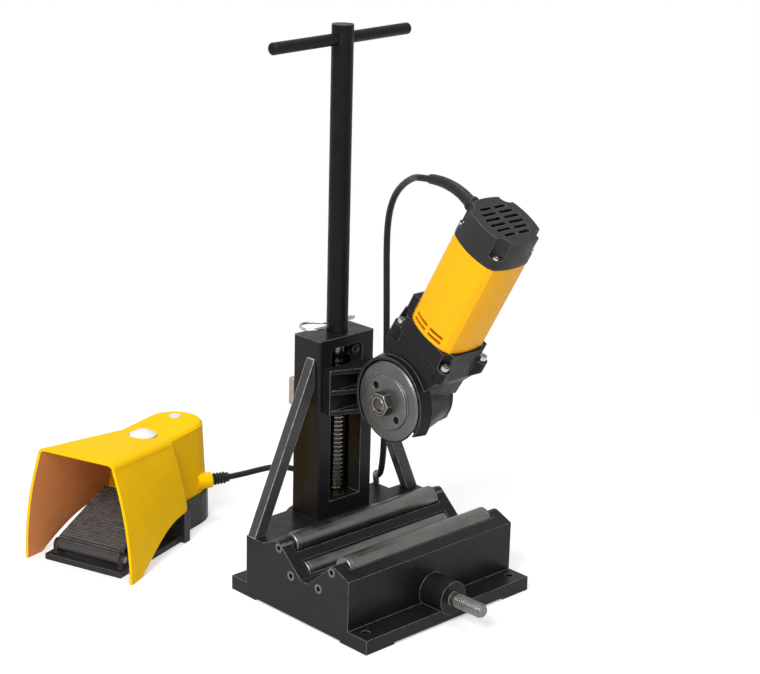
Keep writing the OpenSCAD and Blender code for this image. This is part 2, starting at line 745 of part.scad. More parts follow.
// Gear housing with its guard, its slide plate and the motor's flange
module bowed(half_a, half_b, bulge) {
    r = (half_b * half_b + bulge * bulge) / (2 * bulge);
    intersection() {
        translate([r - half_a - bulge, 0]) circle(r = r);
        translate([-(r - half_a - bulge), 0]) circle(r = r);
    }
}
module motor_profile(grow) intersection() {
    bowed(motor_hx + grow, motor_hu + grow, bulge_x);
    rotate(90) bowed(motor_hu + grow, motor_hx + grow, bulge_u);
    rotate(45) square((motor_hx + motor_hu + 2 * grow - corner_cut) * sqrt(2), center = true);
}
module at_flange_screws() for (x = [-screw_x, screw_x], u = [-screw_u, screw_u]) translate([x, u, 0])
    children();
module guard_cup() rotate([0, 90, 0]) rotate_extrude()
    polygon([[0, guard_floor_x], [guard_bore_r, guard_floor_x],
    [guard_bore_r, guard_x0], [guard_r, guard_x0], [guard_r + guard_bulge, guard_x1], [0, guard_x1]]);
module fairing() hull() {
    translate([guard_x1 - over, 0, 0]) rotate([90, 0, 90]) linear_extrude(over)
        polygon([for (p = fairing_share) guard_r * p]);
    translate([cover_x0 - over, 0, 0]) rotate([0, 90, 0]) cylinder(r = hub_r, h = over, $fn = hull_faces);
}
module slide_plate() translate([0, plate_y1, plate_z0 + plate_h / 2]) rotate([90, 0, 0])
    linear_extrude(plate_t) rounded_block(plate_w, plate_h, col_edge);
module arm_outline() polygon([[-plate_w / 2, plate_y0 + over / 2],
    [guard_x0 + arm_step, guard_r + arm_rise],
    [arm_core_x, guard_r - arm_sink], [plate_w / 2, hub_r - arm_sink],
        [plate_w / 2, plate_y0 + over / 2]]);
module arm() {
    for (z = [plate_z0, plate_z0 + (plate_h - rib_t) / 2, plate_z0 + plate_h - rib_t])
        translate([0, 0, z]) linear_extrude(rib_t) arm_outline();
    translate([0, 0, plate_z0]) linear_extrude(plate_h) intersection() {
        arm_outline();
        translate([arm_core_x, 0]) square([plate_w, plate_y1]);
    }
}
module neck() {
    translate([-neck_hx, 0, 0]) rotate([90, 0, 90]) linear_extrude(2 * neck_hx)
        polygon([[-hub_r * 0.7, hub_r / 3], [-hub_r * 0.8, hub_r / 2],
            [flange_u0 + neck_belly_u, flange_s0 - neck_belly_s],
            [flange_u0, flange_s0], [flange_u0, motor_s0], [flange_u1, motor_s0],
                [flange_u1 + neck_flare, flange_s0],
            [hub_r, hub_r * 0.8], [hub_r * 0.9, hub_r / 3]]);
    translate([0, (flange_u0 + flange_u1) / 2, flange_s1]) linear_extrude(motor_s0 - flange_s1)
        rounded_block(2 * flange_hx, flange_u1 - flange_u0, col_edge);
    for (x = [-1, 1], u = [-1, 1]) hull() {
        translate([x * screw_x, u * screw_u, screw_ledge_s - lug_h]) cylinder(r = lug_r, h = lug_h);
        translate([x * (screw_x - lug_r), u * (screw_u - lug_r), screw_ledge_s - lug_h - lug_fall])
            cylinder(r = lug_r, h = over);
    }
    difference() {
        translate([-tongue_hx, tongue_u[0], motor_s0 - over])
            cube([2 * tongue_hx, tongue_u[1] - tongue_u[0], tongue_top_s - motor_s0 + over]);
        translate([0, 0, motor_s0 - 2 * over]) linear_extrude(tongue_top_s) motor_profile(clear);
        for (s = [-1, 1]) translate([s * tongue_hx, 0, tongue_top_s]) rotate([-90, 0, 0])
            cylinder(r = tongue_corner, h = 2 * tongue_u[1], $fn = 4);
        translate([0, tongue_u[1], tongue_top_s]) rotate([0, 90, 0])
            cylinder(r = tongue_corner, h = 3 * tongue_hx, center = true, $fn = 4);
    }
}
module gear_housing() color("#2b2b2d") in_frame() difference() {
    union() {
        at_wheel() difference() {
            union() {
                guard_cup();
                fairing();
            }
            translate([guard_x0 - over, -2 * guard_r, -2 * guard_r - guard_flat])
                cube([guard_x1 - guard_x0 + over, 4 * guard_r, 2 * guard_r]);
        }
        at_wheel() along_x(hub_r, guard_x1, cover_x0);
        difference() {
            at_motor() neck();
            at_wheel() along_x(guard_r - over, guard_x0 - 3 * over, guard_x1 - over);
            at_wheel() along_x(hub_r + cover_gap, cover_x0, 2 * hub_x1);
        }
        slide_plate();
        difference() {
            arm();
            at_wheel() along_x(guard_bore_r + over, guard_x0 - 3 * over, guard_x1 - over);
        }
    }
    at_wheel() {
        along_x(shoulder_r + over, guard_floor_x - over, bearing_x[0] + over);
        along_x(bearing_r + fit, bearing_x[0], gear_cavity_x0 + over);
        along_x(gear_cavity_r, gear_cavity_x0, cover_x0 + over);
        for (a = [45 : 90 : 315]) rotate([a, 0, 0]) translate([0, 0, cover_screw_at])
            along_x(cover_screw_d / 2 + fit, cover_x0 - cover_screw_grip - clear, cover_x0 + over);
    }
    at_motor() {
        translate([0, 0, pinion_s[0] - 2 * over]) cylinder(r = pinion_r + pinion_gap, h = planet_s[0]);
        translate([0, 0, planet_s[0]]) cylinder(r = planet_r + fit, h = motor_s0);
        at_flange_screws() {
            translate([0, 0, screw_ledge_s]) cylinder(r = notch_r, h = motor_s0 - screw_ledge_s + over);
            translate([0, 0, screw_ledge_s - screw_l - clear])
                cylinder(r = screw_r + fit, h = screw_l + over);
        }
    }
}
module gear_cover() color("#2b2b2d") in_frame() at_wheel() difference() {
    along_x(hub_r, cover_x0, hub_x1);
    along_x(rear_bearing_r + fit, cover_x0 - over, rear_bearing_x[1]);
    for (a = [45 : 90 : 315]) rotate([a, 0, 0]) translate([0, 0, cover_screw_at])
        along_x(cover_screw_d / 2 + fit, cover_x0 - over, hub_x1 + over);
}
module gear_cover_screws() color("#b9b8b6") in_frame() at_wheel() for (a = [45 : 90 : 315])
    rotate([a, 0, 0]) translate([hub_x1, 0, cover_screw_at]) rotate([0, 90, 0])
        cap_screw(cover_screw_d, cover_screw_head_d, cover_screw_d * 0.7, cover_t + cover_screw_grip);
module flange_screws() color("#c4c3c0") in_frame() at_motor() at_flange_screws()
    translate([0, 0, screw_ledge_s])
    cap_screw(2 * screw_r, 2 * screw_head_r, screw_head_h, screw_l);

// Shaft, wheel and gears
module output_shaft() color("#7b7b7c") in_frame() at_wheel() {
    along_x(shaft_d / 2, wheel_hub_x0 - nut_h, wheel_hub_x1 + over);
    intersection() {
        along_x(shaft_d / 2, shaft_end_x, wheel_hub_x0 - nut_h);
        translate([shaft_end_x + shaft_dome_r, 0, 0]) sphere(r = shaft_dome_r);
    }
    along_x(shoulder_r, wheel_hub_x1, bearing_x[0]);
    along_x(bearing_in_r, bearing_x[0], gear_cavity_x0 + shaft_land);
    along_x(tail_r, gear_cavity_x0, rear_bearing_x[1] - clear);
}
module output_bearings() color("#a8a7a4") in_frame() at_wheel() {
    translate([bearing_x[0], 0, 0]) rotate([0, 90, 0])
        bearing(bearing_r, bearing_in_r + fit, bearing_x[1] - bearing_x[0]);
    translate([rear_bearing_x[0], 0, 0]) rotate([0, 90, 0])
        bearing(rear_bearing_r, tail_r + fit, rear_bearing_x[1] - rear_bearing_x[0]);
}
module bearing(r_out, r_in, h) difference() {
    ring(r_out, r_in, h);
    for (z = [-over, h - bearing_dish]) translate([0, 0, z])
        ring(r_out - (r_out - r_in) * 0.28, r_in + (r_out - r_in) * 0.28, bearing_dish + over);
}
module crown_gear() color("#8c8a86") in_frame() at_wheel() {
    difference() {
        along_x(crown_r, crown_tip_x + crown_tooth_h, crown_tip_x + crown_tooth_h + crown_t);
        along_x(tail_r + fit, crown_tip_x, crown_tip_x + 2 * crown_t + crown_tooth_h);
    }
    for (k = [0 : crown_teeth - 1]) rotate([360 * k / crown_teeth, 0, 0])
        translate([crown_tip_x, 0, crown_inner_r]) linear_extrude(crown_r - crown_inner_r - over)
            polygon([[0, -crown_tooth_w / 4], [0, crown_tooth_w / 4],
                [crown_tooth_h + over / 2, crown_tooth_w / 2],
                    [crown_tooth_h + over / 2, -crown_tooth_w / 2]]);
}
module bevel_pinion() color("#8c8a86") in_frame() at_motor() {
    translate([0, 0, pinion_s[0]]) linear_extrude(pinion_s[1] - pinion_s[0]) union() {
        circle(r = pinion_root_r);
        for (k = [0 : pinion_teeth - 1]) rotate(360 * k / pinion_teeth)
            polygon([[pinion_root_r - over, -pinion_r / 5], [pinion_r, -pinion_r / 10],
                [pinion_r, pinion_r / 10], [pinion_root_r - over, pinion_r / 5]]);
    }
    translate([0, 0, pinion_s[0]]) cylinder(r = pinion_root_r - clear,
        h = planet_s[0] + pinion_grip - pinion_s[0]);
}
module planet_gearbox() color("#5d5c5b") in_frame() at_motor() difference() {
    translate([0, 0, planet_s[0]]) cylinder(r = planet_r, h = planet_s[1] - planet_s[0]);
    translate([0, 0, planet_s[0] - over])
        cylinder(r = pinion_root_r - clear + fit, h = pinion_grip + clear + over);
    translate([0, 0, armature_s0 - clear]) cylinder(r = armature_r + fit, h = planet_s[1]);
}

// Motor
module motor_housing() color("#f6bd22") in_frame() at_motor() difference() {
    translate([0, 0, motor_s0]) linear_extrude(motor_l) motor_profile(0);
    translate([0, 0, motor_s0 - over]) linear_extrude(motor_l + 2 * over) motor_profile(-motor_wall);
    both_x() for (u = vent_rows, s = vent_s) translate([-2 * motor_hx, u[0], s])
        cube([2 * motor_hx - vent_depth, u[1] - u[0], vent_w]);
}
module stator() color("#6a4a35") in_frame() at_motor() difference() {
    translate([0, 0, core_s[0]]) linear_extrude(core_s[1] - core_s[0]) motor_profile(-motor_wall - fit);
    translate([0, 0, core_s[0] - over]) cylinder(r = core_bore_r, h = core_s[1] - core_s[0] + 2 * over);
}
module armature() color("#8a6a4c") in_frame() at_motor() {
    translate([0, 0, armature_s0]) cylinder(r = armature_r, h = motor_bearing_s[1] - armature_s0);
    translate([0, 0, core_s[0]]) cylinder(r = rotor_r, h = core_s[1] - core_s[0]);
    translate([0, 0, commutator_s[0]]) cylinder(r = commutator_r, h = commutator_s[1] - commutator_s[0]);
}
module cooling_fan() color("#3a3a3c") in_frame() at_motor() translate([0, 0, fan_s[0]]) {
    ring(fan_hub_r, armature_r + fit, fan_s[1] - fan_s[0]);
    translate([0, 0, fan_s[1] - fan_s[0] - fan_blade_t]) ring(fan_r, fan_hub_r - over, fan_blade_t);
    for (k = [0 : fan_blades - 1]) rotate(360 * k / fan_blades)
        translate([fan_hub_r - over / 2, -fan_blade_t / 2, 0])
            cube([fan_r - fan_hub_r, fan_blade_t, fan_s[1] - fan_s[0] - over / 2]);
}
module brush_holders() color("#b4945a") in_frame() at_motor() both_x() difference() {
    translate([0, 0, commutator_s[0] + over]) linear_extrude(commutator_s[1] - commutator_s[0] - 2 * over)
        intersection() {
        motor_profile(-motor_wall - fit);
        translate([0, -brush_w / 2]) square([2 * motor_hx, brush_w]);
    }
    translate([0, 0, commutator_s[0]])
        cylinder(r = commutator_r + clear, h = commutator_s[1] - commutator_s[0]);
}
module motor_bearing() color("#a8a7a4") in_frame() at_motor() translate([0, 0, motor_bearing_s[0]])
    bearing(motor_bearing_r, armature_r + fit, motor_bearing_s[1] - motor_bearing_s[0]);
module at_cap_corners() for (x = [-1, 1], u = [-1, 1]) translate([x * cap_notch_x, u * cap_notch_u])
    children();
module motor_end_cap() color("#3b3b3d") in_frame() at_motor() difference() {
    union() {
        difference() {
            translate([0, 0, cap_s0]) linear_extrude(cap_h) motor_profile(cap_lip / 2);
            translate([0, 0, cap_s0 - over]) linear_extrude(cap_h - cap_wall + over) difference() {
                motor_profile(-cap_wall);
                at_cap_corners() circle(r = cap_notch_r + cap_wall);
            }
        }
        translate([0, 0, motor_bearing_s[0]])
            ring(motor_bearing_r + cap_wall, motor_bearing_r + fit,
                cap_s1 - cap_wall + over - motor_bearing_s[0]);
        for (s = [-1, 1]) translate([0, s * (motor_bearing_r + (motor_hu - motor_bearing_r) / 2 + over),
            cap_s0 + cap_h / 2])
            cube([cap_wall, motor_hu - motor_bearing_r, cap_h - 3 * cap_wall], center = true);
    }
    at_cap_corners() translate([0, 0, cap_screw_s]) cylinder(r = cap_notch_r, h = cap_h);
    for (x = [-1, 1], u = [-1, 1]) translate([x * (cap_notch_x - cap_screw_in),
        u * (cap_notch_u - cap_screw_in), cap_s0 + over])
        cylinder(r = cap_screw_r / 2 + fit, h = cap_h);
    for (i = [0 : grille_rows - 1], s = [-1, 1]) translate([
        s > 0 ? grille_rib / 2 : -grille_rib / 2 - grille_len * grille_len_share[i],
        (i - (grille_rows - 1) / 2) * grille_pitch - grille_slot_w / 2, cap_s1 - cap_wall - over])
            cube([grille_len * grille_len_share[i], grille_slot_w, cap_wall + 2 * over]);
}
module cap_screws() color("#c4c3c0") in_frame() at_motor() for (x = [-1, 1], u = [-1, 1])
    translate([x * (cap_notch_x - cap_screw_in), u * (cap_notch_u - cap_screw_in), cap_screw_s])
        cap_screw(cap_screw_r, 2 * cap_screw_r, cap_screw_h, cap_screw_s - cap_s0 - 2 * over);
function cap_rear(x) = motor_hu + cap_lip / 2 + bulge_u * (1 - x * x / (motor_hx * motor_hx));
module cable_sleeve() color("#3a3a3b") in_frame() at_motor()
    translate([sleeve_x, cap_rear(0) + clear, sleeve_s])
    let (route = smooth_route(sleeve_reach * sleeve_path_share, 2), n = len(route) - 1)
        swept_tube(route, [for (i = [0 : n]) sleeve_root_r + (sleeve_tip_r - sleeve_root_r) * i / n],
            sleeve_sides);

// Cutting wheel and its nut
module cutting_wheel() color("#58595a") in_frame() at_wheel() difference() {
    rotate([0, 90, 0]) rotate_extrude()
        polygon([[shaft_d / 2 + fit, wheel_hub_x0], [wheel_hub_r, wheel_hub_x0],
        [wheel_hub_r, wheel_face_x], [wheel_r - wheel_bevel, wheel_face_x],
            [wheel_r, wheel_face_x + wheel_rim_t / 2],
        [wheel_r - wheel_bevel, wheel_face_x + wheel_rim_t], [wheel_hub_r, wheel_face_x + wheel_rim_t],
        [wheel_hub_r, wheel_hub_x1], [shaft_d / 2 + fit, wheel_hub_x1]]);
    for (a = [45, 225]) rotate([a, 0, 0]) translate([0, wheel_hole_at, 0])
        along_x(wheel_hole_r, wheel_hub_x0 - over, wheel_hub_x1 + over);
}
module wheel_nut() color("#7d7568") in_frame() at_wheel() difference() {
    intersection() {
        translate([wheel_hub_x0 - nut_h, 0, 0]) rotate([0, 90, 0]) rotate(30)
            cylinder(d = nut_af / cos(30), h = nut_h, $fn = 6);
        rotate([0, 90, 0]) rotate_extrude()
            polygon([[0, wheel_hub_x0 - nut_h], [nut_af / 2, wheel_hub_x0 - nut_h],
            [nut_af / 2 + 2 * nut_bevel, wheel_hub_x0 - nut_h + nut_bevel],
                [nut_af / 2 + 2 * nut_bevel, wheel_hub_x0], [0, wheel_hub_x0]]);
    }
    along_x(shaft_d / 2 + fit, wheel_hub_x0 - nut_h - over, wheel_hub_x0 + over);
}

// Cords
module cord(route) let (p = smooth_route(route, 2)) swept_tube(p, [for (q = p) cord_d / 2], cord_sides);
module motor_cord() color("#232323") in_frame() cord(motor_route);
module switch_cord() color("#232323") in_frame() cord(switch_route);
coil_steps = coil_turns * 360 / coil_ring_step;
function coil_radius(t) = coil_r_in + (coil_r_out - coil_r_in) * abs(2 * t - 1);
function coil_level(t) = let (f = max(0, min(1, (t - 0.5) * coil_turns + 0.5)))
    coil_low_z + (coil_high_z - coil_low_z) * (3 - 2 * f) * f * f;
function coil_points() = concat([[coil_r_out, -cord_d, coil_low_z]],
    [for (i = [0 : coil_steps]) let (t = i / coil_steps, a = 360 * coil_turns * t)
        [coil_radius(t) * cos(a), coil_radius(t) * sin(a), coil_level(t)]],
    [[coil_r_out, cord_d, coil_high_z]]);
module cord_coil() color("#232323") in_frame() translate([coil_x, coil_y, 0])
    let (p = coil_points()) swept_tube(p, [for (q = p) cord_d / 2], coil_sides);
function coil_gap(p) = min([for (i = [0 : len(p) - 1], j = [i + 6 : 1 : len(p) - 1]) norm(p[i] - p[j])])
    - cord_d;
echo("least gap between the coil's turns", coil_gap(coil_points()));
echo("cord lengths: motor", route_length(smooth_route(motor_route, 2)), "coil",
    route_length(coil_points()),
    "switch", route_length(smooth_route(switch_route, 2)));

// Foot switch
function hood_t(u) = u / hood_l;
function hood_low(u) = mouth_w / 2 + (hood_rear_half - mouth_w / 2) * hood_t(u);
function hood_high(u) = mouth_top_w / 2 + (box_w / 2 - mouth_top_w / 2) * hood_t(u);
function hood_top(u) = mouth_h + (box_h - mouth_h) * hood_t(u);
function hood_foot(u) = u <= arch_start ? 0 : u >= arch_end ? base_top_z
    : base_top_z * sin(90 * (u - arch_start) / (arch_end - arch_start));
function hood_side(u, z) = hood_low(u) + (hood_high(u) - hood_low(u)) * pow(z / hood_top(u), 2);
function hood_half(u, inset) = let (
        foot = hood_foot(u), top = hood_top(u) - inset, r = roof_r - inset,
        knee = hood_side(u, top - r) - inset)
    concat([for (k = [0 : 6]) let (z = foot + (top - r - foot) * k / 6) [hood_side(u, z) - inset, z]],
        [for (a = [22.5 : 22.5 : 90]) [knee - r + r * cos(a), top - r + r * sin(a)]]);
function hood_outline(u, inset)
    = concat(hood_half(u, inset), [for (p = reversed(hood_half(u, inset))) [-p[0], p[1]]]);
function hood_ring(u) = concat(reversed(hood_outline(u, 0)), hood_outline(u, hood_wall));
module hood_shell() {
    stations = [for (i = [0 : hood_stations]) let (f = i / hood_stations) f * (hood_l - over)];
    rings = [for (u = stations) hood_ring(u)];
    n = len(rings[0]);
    m = len(rings);
    half = n / 2;
    points = [for (i = [0 : m - 1], p = rings[i]) [stations[i], p[0], p[1]]];
    walls = [for (i = [0 : m - 2], k = [0 : n - 1]) let (a = i * n + k, b = i * n + (k + 1) % n) each
        [[a, b, b + n], [a, b + n, a + n]]];
    front = [for (k = [0 : half - 2]) each [[k, n - 1 - k, k + 1], [k + 1, n - 1 - k, n - 2 - k]]];
    rear = [for (k = [0 : half - 2]) let (o = (m - 1) * n) each
        [[o + k, o + k + 1, o + n - 1 - k], [o + k + 1, o + n - 2 - k, o + n - 1 - k]]];
    polyhedron(points = points, faces = concat(walls, front, rear));
}
module across(u, t) translate([u, 0, 0]) rotate([90, 0, 90]) linear_extrude(t) children();
function box_outline(grow) = concat([[box_u0, -box_w / 2 - grow],
    [switch_l - rear_end_l, -box_w / 2 - grow]],
    [for (a = [-75 : 15 : 75]) [switch_l - rear_end_l + (rear_end_l + grow) * cos(a), (box_w / 2 + grow)
        * sin(a)]],
    [[switch_l - rear_end_l, box_w / 2 + grow], [box_u0, box_w / 2 + grow]]);
module slab(z, t) translate([0, 0, z]) linear_extrude(t) children();
module switch_hood() color("#f8c417") in_frame() at_switch() difference() {
    union() {
        hood_shell();
        hull() {
            across(hood_l - hood_wall, over) polygon(hood_outline(hood_l - hood_wall, 0));
            across(hood_l + shoulder_l, over) polygon(hood_outline(hood_l, shoulder_in));
        }
        hull() {
            slab(base_top_z, over) polygon(box_outline(box_draft));
            slab(box_h - roof_r / 2, over) polygon(box_outline(0));
            slab(box_h - over / 2, over / 2) polygon(box_outline(-roof_r / 3));
        }
        translate([button_u, 0, hood_top(button_u) - button_boss_h])
            cylinder(r = button_d / 2 + button_wall, h = button_boss_h - over);
        translate([gland_u, gland_v, gland_z]) rotate([0, 90, gland_dir])
            cylinder(r = gland_boss_r, h = gland_boss_l);
    }
    translate([button_u, 0, hood_top(button_u) - button_recess])
        cylinder(r = button_d / 2 + button_play, h = button_recess + 3 * over);
    translate([button_u, 0, hood_top(button_u) - button_recess - button_stem_l])
        cylinder(r = button_stem_r + fit, h = button_stem_l + over);
    translate([lens_u, lens_v, box_h - lens_h / 2]) cylinder(r = lens_r + fit, h = lens_h);
}
module switch_base() color("#1f1f21") in_frame() at_switch() difference() {
    union() {
        translate([plate_front_u, -hinge_half - hinge_lug_t, 0])
            cube([hood_l - plate_front_u, 2 * (hinge_half + hinge_lug_t), plate_thick]);
        slab(0, base_top_z) polygon(box_outline(box_draft + base_ledge));
        translate([hood_l - 2 * hood_wall, -hood_rear_half + over, 0])
            cube([3 * hood_wall, 2 * (hood_rear_half - over), base_top_z]);
        for (s = [-1, 1]) translate([hinge_u, s * (hinge_half - hinge_lug_t / 2), 0]) {
            translate([0, 0, hinge_z]) rotate([90, 0, 0])
                cylinder(r = hinge_eye_r, h = hinge_lug_t, center = true);
            translate([0, 0, hinge_z / 2]) cube([2 * hinge_eye_r, hinge_lug_t, hinge_z], center = true);
        }
    }
    translate([hinge_u, 0, hinge_z]) rotate([90, 0, 0])
        cylinder(r = hinge_pin_r + fit, h = 3 * hinge_half, center = true);
}
module at_hinge() translate([hinge_u, 0, hinge_z]) rotate([0, -pedal_slope, 0]) children();
module pedal() color("#26262a") in_frame() at_switch() difference() {
    union() {
        at_hinge() translate([0, -pedal_w / 2, pedal_rise])
            cube([pedal_l - pedal_nose, pedal_w, pedal_t]);
        at_hinge() translate([0, pedal_w / 2, 0]) rotate([90, 0, 0])
            cylinder(r = hinge_eye_r, h = pedal_w);
        at_hinge() translate([0, -pedal_w / 2, 0]) cube([pedal_nose, pedal_w, pedal_rise + over]);
        for (k = [1 : floor((pedal_l - pedal_nose) / pedal_rib_pitch) - 1]) at_hinge()
            translate([k * pedal_rib_pitch, -pedal_w / 2 + over, pedal_rise + pedal_t - over])
                cube([pedal_rib_w, pedal_w - 2 * over, pedal_rib_h + over]);
    }
    translate([hinge_u, 0, hinge_z]) rotate([90, 0, 0])
        cylinder(r = hinge_pin_r + fit, h = 2 * hinge_half, center = true);
}
module pedal_pin() color("#8b8a88") in_frame() at_switch() translate([hinge_u, 0, hinge_z])
    rotate([90, 0, 0])
    cylinder(r = hinge_pin_r, h = 2 * hinge_half, center = true);
pedal_underside = hinge_z + (spring_u - spring_r - hinge_u) * tan(pedal_slope)
    + pedal_rise / cos(pedal_slope);
module pedal_spring() color("#9c9b98") in_frame() at_switch() translate([spring_u, 0, plate_thick])
    ring(spring_r, spring_r - spring_wire, pedal_underside - plate_thick - clear);
module reset_button() color("#dcdce2") in_frame() at_switch() translate([button_u, 0, hood_top(button_u)])
    {
    cylinder(d = button_d, h = button_edge_h);
    translate([0, 0, button_edge_h]) intersection() {
        cylinder(d = button_d, h = button_rise);
        translate([0, 0, button_rise - button_edge_h - button_dome_r]) sphere(r = button_dome_r);
    }
    translate([0, 0, -button_recess - button_stem_l + button_travel + clear])
        cylinder(r = button_stem_r, h = button_recess + button_stem_l - button_travel);
}
module signal_lens() color("#cfcdd2") in_frame() at_switch()
    translate([lens_u, lens_v, box_h - lens_h / 2])
    cylinder(r = lens_r, h = lens_h);
module cable_gland() color("#1c1c1e") in_frame() at_switch() translate([gland_u, gland_v, gland_z])
    rotate([0, 90, gland_dir])
    translate([0, 0, gland_boss_l]) rotate_extrude() polygon(concat([[0, 0], [gland_r, 0]],
        [for (k = [0 : gland_ribs - 1])
            let (z = gland_l * (k + 0.5) / (gland_ribs + 1), d = gland_l / (gland_ribs + 1)) each
            [[gland_r, z], [gland_r - gland_groove, z + d * 0.3], [gland_r - gland_groove, z + d * 0.6],
                [gland_r - k * gland_taper, z + d * 0.8]]],
        [[gland_r - gland_ribs * gland_taper, gland_l], [0, gland_l]]));

base_block();
mounting_stud();
roller_axles();
roller(roller_places[0]);  // front_outer_roller
roller(roller_places[1]);  // front_inner_roller
roller(roller_places[2]);  // rear_inner_roller
roller(roller_places[3]);  // rear_outer_roller
column();
column_bolts();
left_brace();
right_brace();
upper_bush();
lower_bush();
spindle();
handle_tube();
t_bar();
handle_clip();
stop_screw();
slide_block();
spindle_nut();
back_plate();
back_plate_screws();
gear_housing();
gear_cover();
gear_cover_screws();
output_shaft();
output_bearings();
crown_gear();
bevel_pinion();
planet_gearbox();
flange_screws();
motor_housing();
stator();
armature();
cooling_fan();
brush_holders();
motor_bearing();
motor_end_cap();
cap_screws();
cable_sleeve();
cutting_wheel();
wheel_nut();
motor_cord();
cord_coil();
switch_cord();
switch_hood();
switch_base();
pedal();
pedal_pin();
pedal_spring();
reset_button();
signal_lens();
cable_gland();
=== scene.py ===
"""Looks of the pipe cutting machine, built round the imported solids."""
import math

import bmesh
import bpy
from mathutils import Matrix, Vector


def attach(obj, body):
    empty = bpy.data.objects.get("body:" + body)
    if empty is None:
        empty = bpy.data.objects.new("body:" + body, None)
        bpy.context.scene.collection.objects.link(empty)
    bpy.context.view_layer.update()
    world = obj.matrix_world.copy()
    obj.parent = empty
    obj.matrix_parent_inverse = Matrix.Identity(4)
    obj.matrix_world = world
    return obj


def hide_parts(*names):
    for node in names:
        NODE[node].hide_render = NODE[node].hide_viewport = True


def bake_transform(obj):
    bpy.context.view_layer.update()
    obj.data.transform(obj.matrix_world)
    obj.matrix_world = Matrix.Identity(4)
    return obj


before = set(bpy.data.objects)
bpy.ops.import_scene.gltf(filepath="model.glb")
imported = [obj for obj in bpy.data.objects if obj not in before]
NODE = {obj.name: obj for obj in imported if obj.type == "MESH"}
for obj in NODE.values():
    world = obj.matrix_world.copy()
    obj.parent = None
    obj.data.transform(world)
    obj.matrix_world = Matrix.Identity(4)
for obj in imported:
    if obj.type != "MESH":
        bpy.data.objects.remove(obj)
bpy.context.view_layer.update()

# Lengths are in millimetres in the bed's frame, whose y = 0 lies midway between the rollers
MM = 0.001
# Origin of the bed's frame along the row frame's Y, and height of the cutting wheel's axis
BED_Y = -11.5
AXIS_Z = 227


def bed(x, y, z):
    """A point of the bed's frame in metres of the row frame."""
    return Vector((x * MM, (y + BED_Y) * MM, z * MM))


def turned(degrees, axis):
    return Matrix.Rotation(math.radians(degrees), 4, axis)


def add_object(name, data):
    thing = bpy.data.objects.new(name, data)
    bpy.context.scene.collection.objects.link(thing)
    return thing


# Camera of the photograph: its focal length is in the picture's pixels
PICTURE_WIDE = 760
FOCAL_PIXELS = 1873
SENSOR_WIDE = 36
CAMERA_AT = (-1351.8, -1367.3, 888.9)
CAMERA_YAW, CAMERA_PITCH, CAMERA_ROLL = (math.radians(a) for a in (45.79, -17.06, 1.49))
CAMERA_REACH = 60


def make_camera():
    forward = Vector((math.cos(CAMERA_YAW) * math.cos(CAMERA_PITCH),
                      math.sin(CAMERA_YAW) * math.cos(CAMERA_PITCH), math.sin(CAMERA_PITCH)))
    right = forward.cross(Vector((0, 0, 1))).normalized()
    up = right.cross(forward)
    rolled_right = right * math.cos(CAMERA_ROLL) + up * math.sin(CAMERA_ROLL)
    rolled_up = up * math.cos(CAMERA_ROLL) - right * math.sin(CAMERA_ROLL)
    data = bpy.data.cameras.new("camera")
    data.sensor_width = SENSOR_WIDE
    data.sensor_fit = "HORIZONTAL"
    data.lens = SENSOR_WIDE * FOCAL_PIXELS / PICTURE_WIDE
    data.clip_end = CAMERA_REACH
    camera = add_object("camera", data)
    facing = Matrix((rolled_right, rolled_up, -forward)).transposed().to_4x4()
    camera.matrix_world = Matrix.Translation(bed(*CAMERA_AT)) @ facing
    bpy.context.scene.camera = camera


make_camera()


# Mesh helpers: angles above which an edge stays sharp are in degrees
SOFT_ANGLE, THREAD_ANGLE, WHEEL_ANGLE = 40, 50, 25
ROD_SIDES = 56
# Part of a unit vector along an axis from which the vector counts as lying along it
ALONG_SHARE = 0.9


def smooth(mesh, sharp_angle):
    for polygon in mesh.polygons:
        polygon.use_smooth = True
    mesh.set_sharp_from_angle(angle=math.radians(sharp_angle))


def make_object(name, points, faces, sharp_angle=SOFT_ANGLE):
    mesh = bpy.data.meshes.new(name)
    mesh.from_pydata([tuple(p) for p in points], [], faces)
    mesh.validate()
    mesh.update()
    smooth(mesh, sharp_angle)
    return add_object(name, mesh)


def round_angles(count):
    return [2 * math.pi * k / count for k in range(count)]


def polar(r, angle, z):
    return Vector((r * math.cos(angle) * MM, r * math.sin(angle) * MM, z * MM))


def skin(rows, sides, ring=False):
    """Faces over closed rows of points, ended by two caps or joined into a ring."""
    faces = [(i * sides + k, i * sides + (k + 1) % sides,
              (i + 1) % rows * sides + (k + 1) % sides, (i + 1) % rows * sides + k)
             for i in range(rows if ring else rows - 1) for k in range(sides)]
    if not ring:
        faces.append(tuple(reversed(range(sides))))
        faces.append(tuple(range((rows - 1) * sides, rows * sides)))
    return faces


def turned_mesh(place, profile, sides, ring=False):
    """Points and faces of a solid of revolution about local Z, from radii and heights."""
    points = [place @ polar(r, a, z) for r, z in profile for a in round_angles(sides)]
    return points, skin(len(profile), sides, ring)


def spline(points, steps):
    """Points on a smooth curve through the given ones."""
    out = []
    last = len(points) - 1
    for i in range(last):
        a, b, c, d = (points[max(i - 1, 0)], points[i], points[i + 1], points[min(i + 2, last)])
        for k in range(steps):
            f = k / steps
            out.append((2 * b + (c - a) * f + (2 * a - 5 * b + 4 * c - d) * f * f
                        + (3 * b - a - 3 * c + d) * f ** 3) / 2)
    out.append(points[last])
    return out


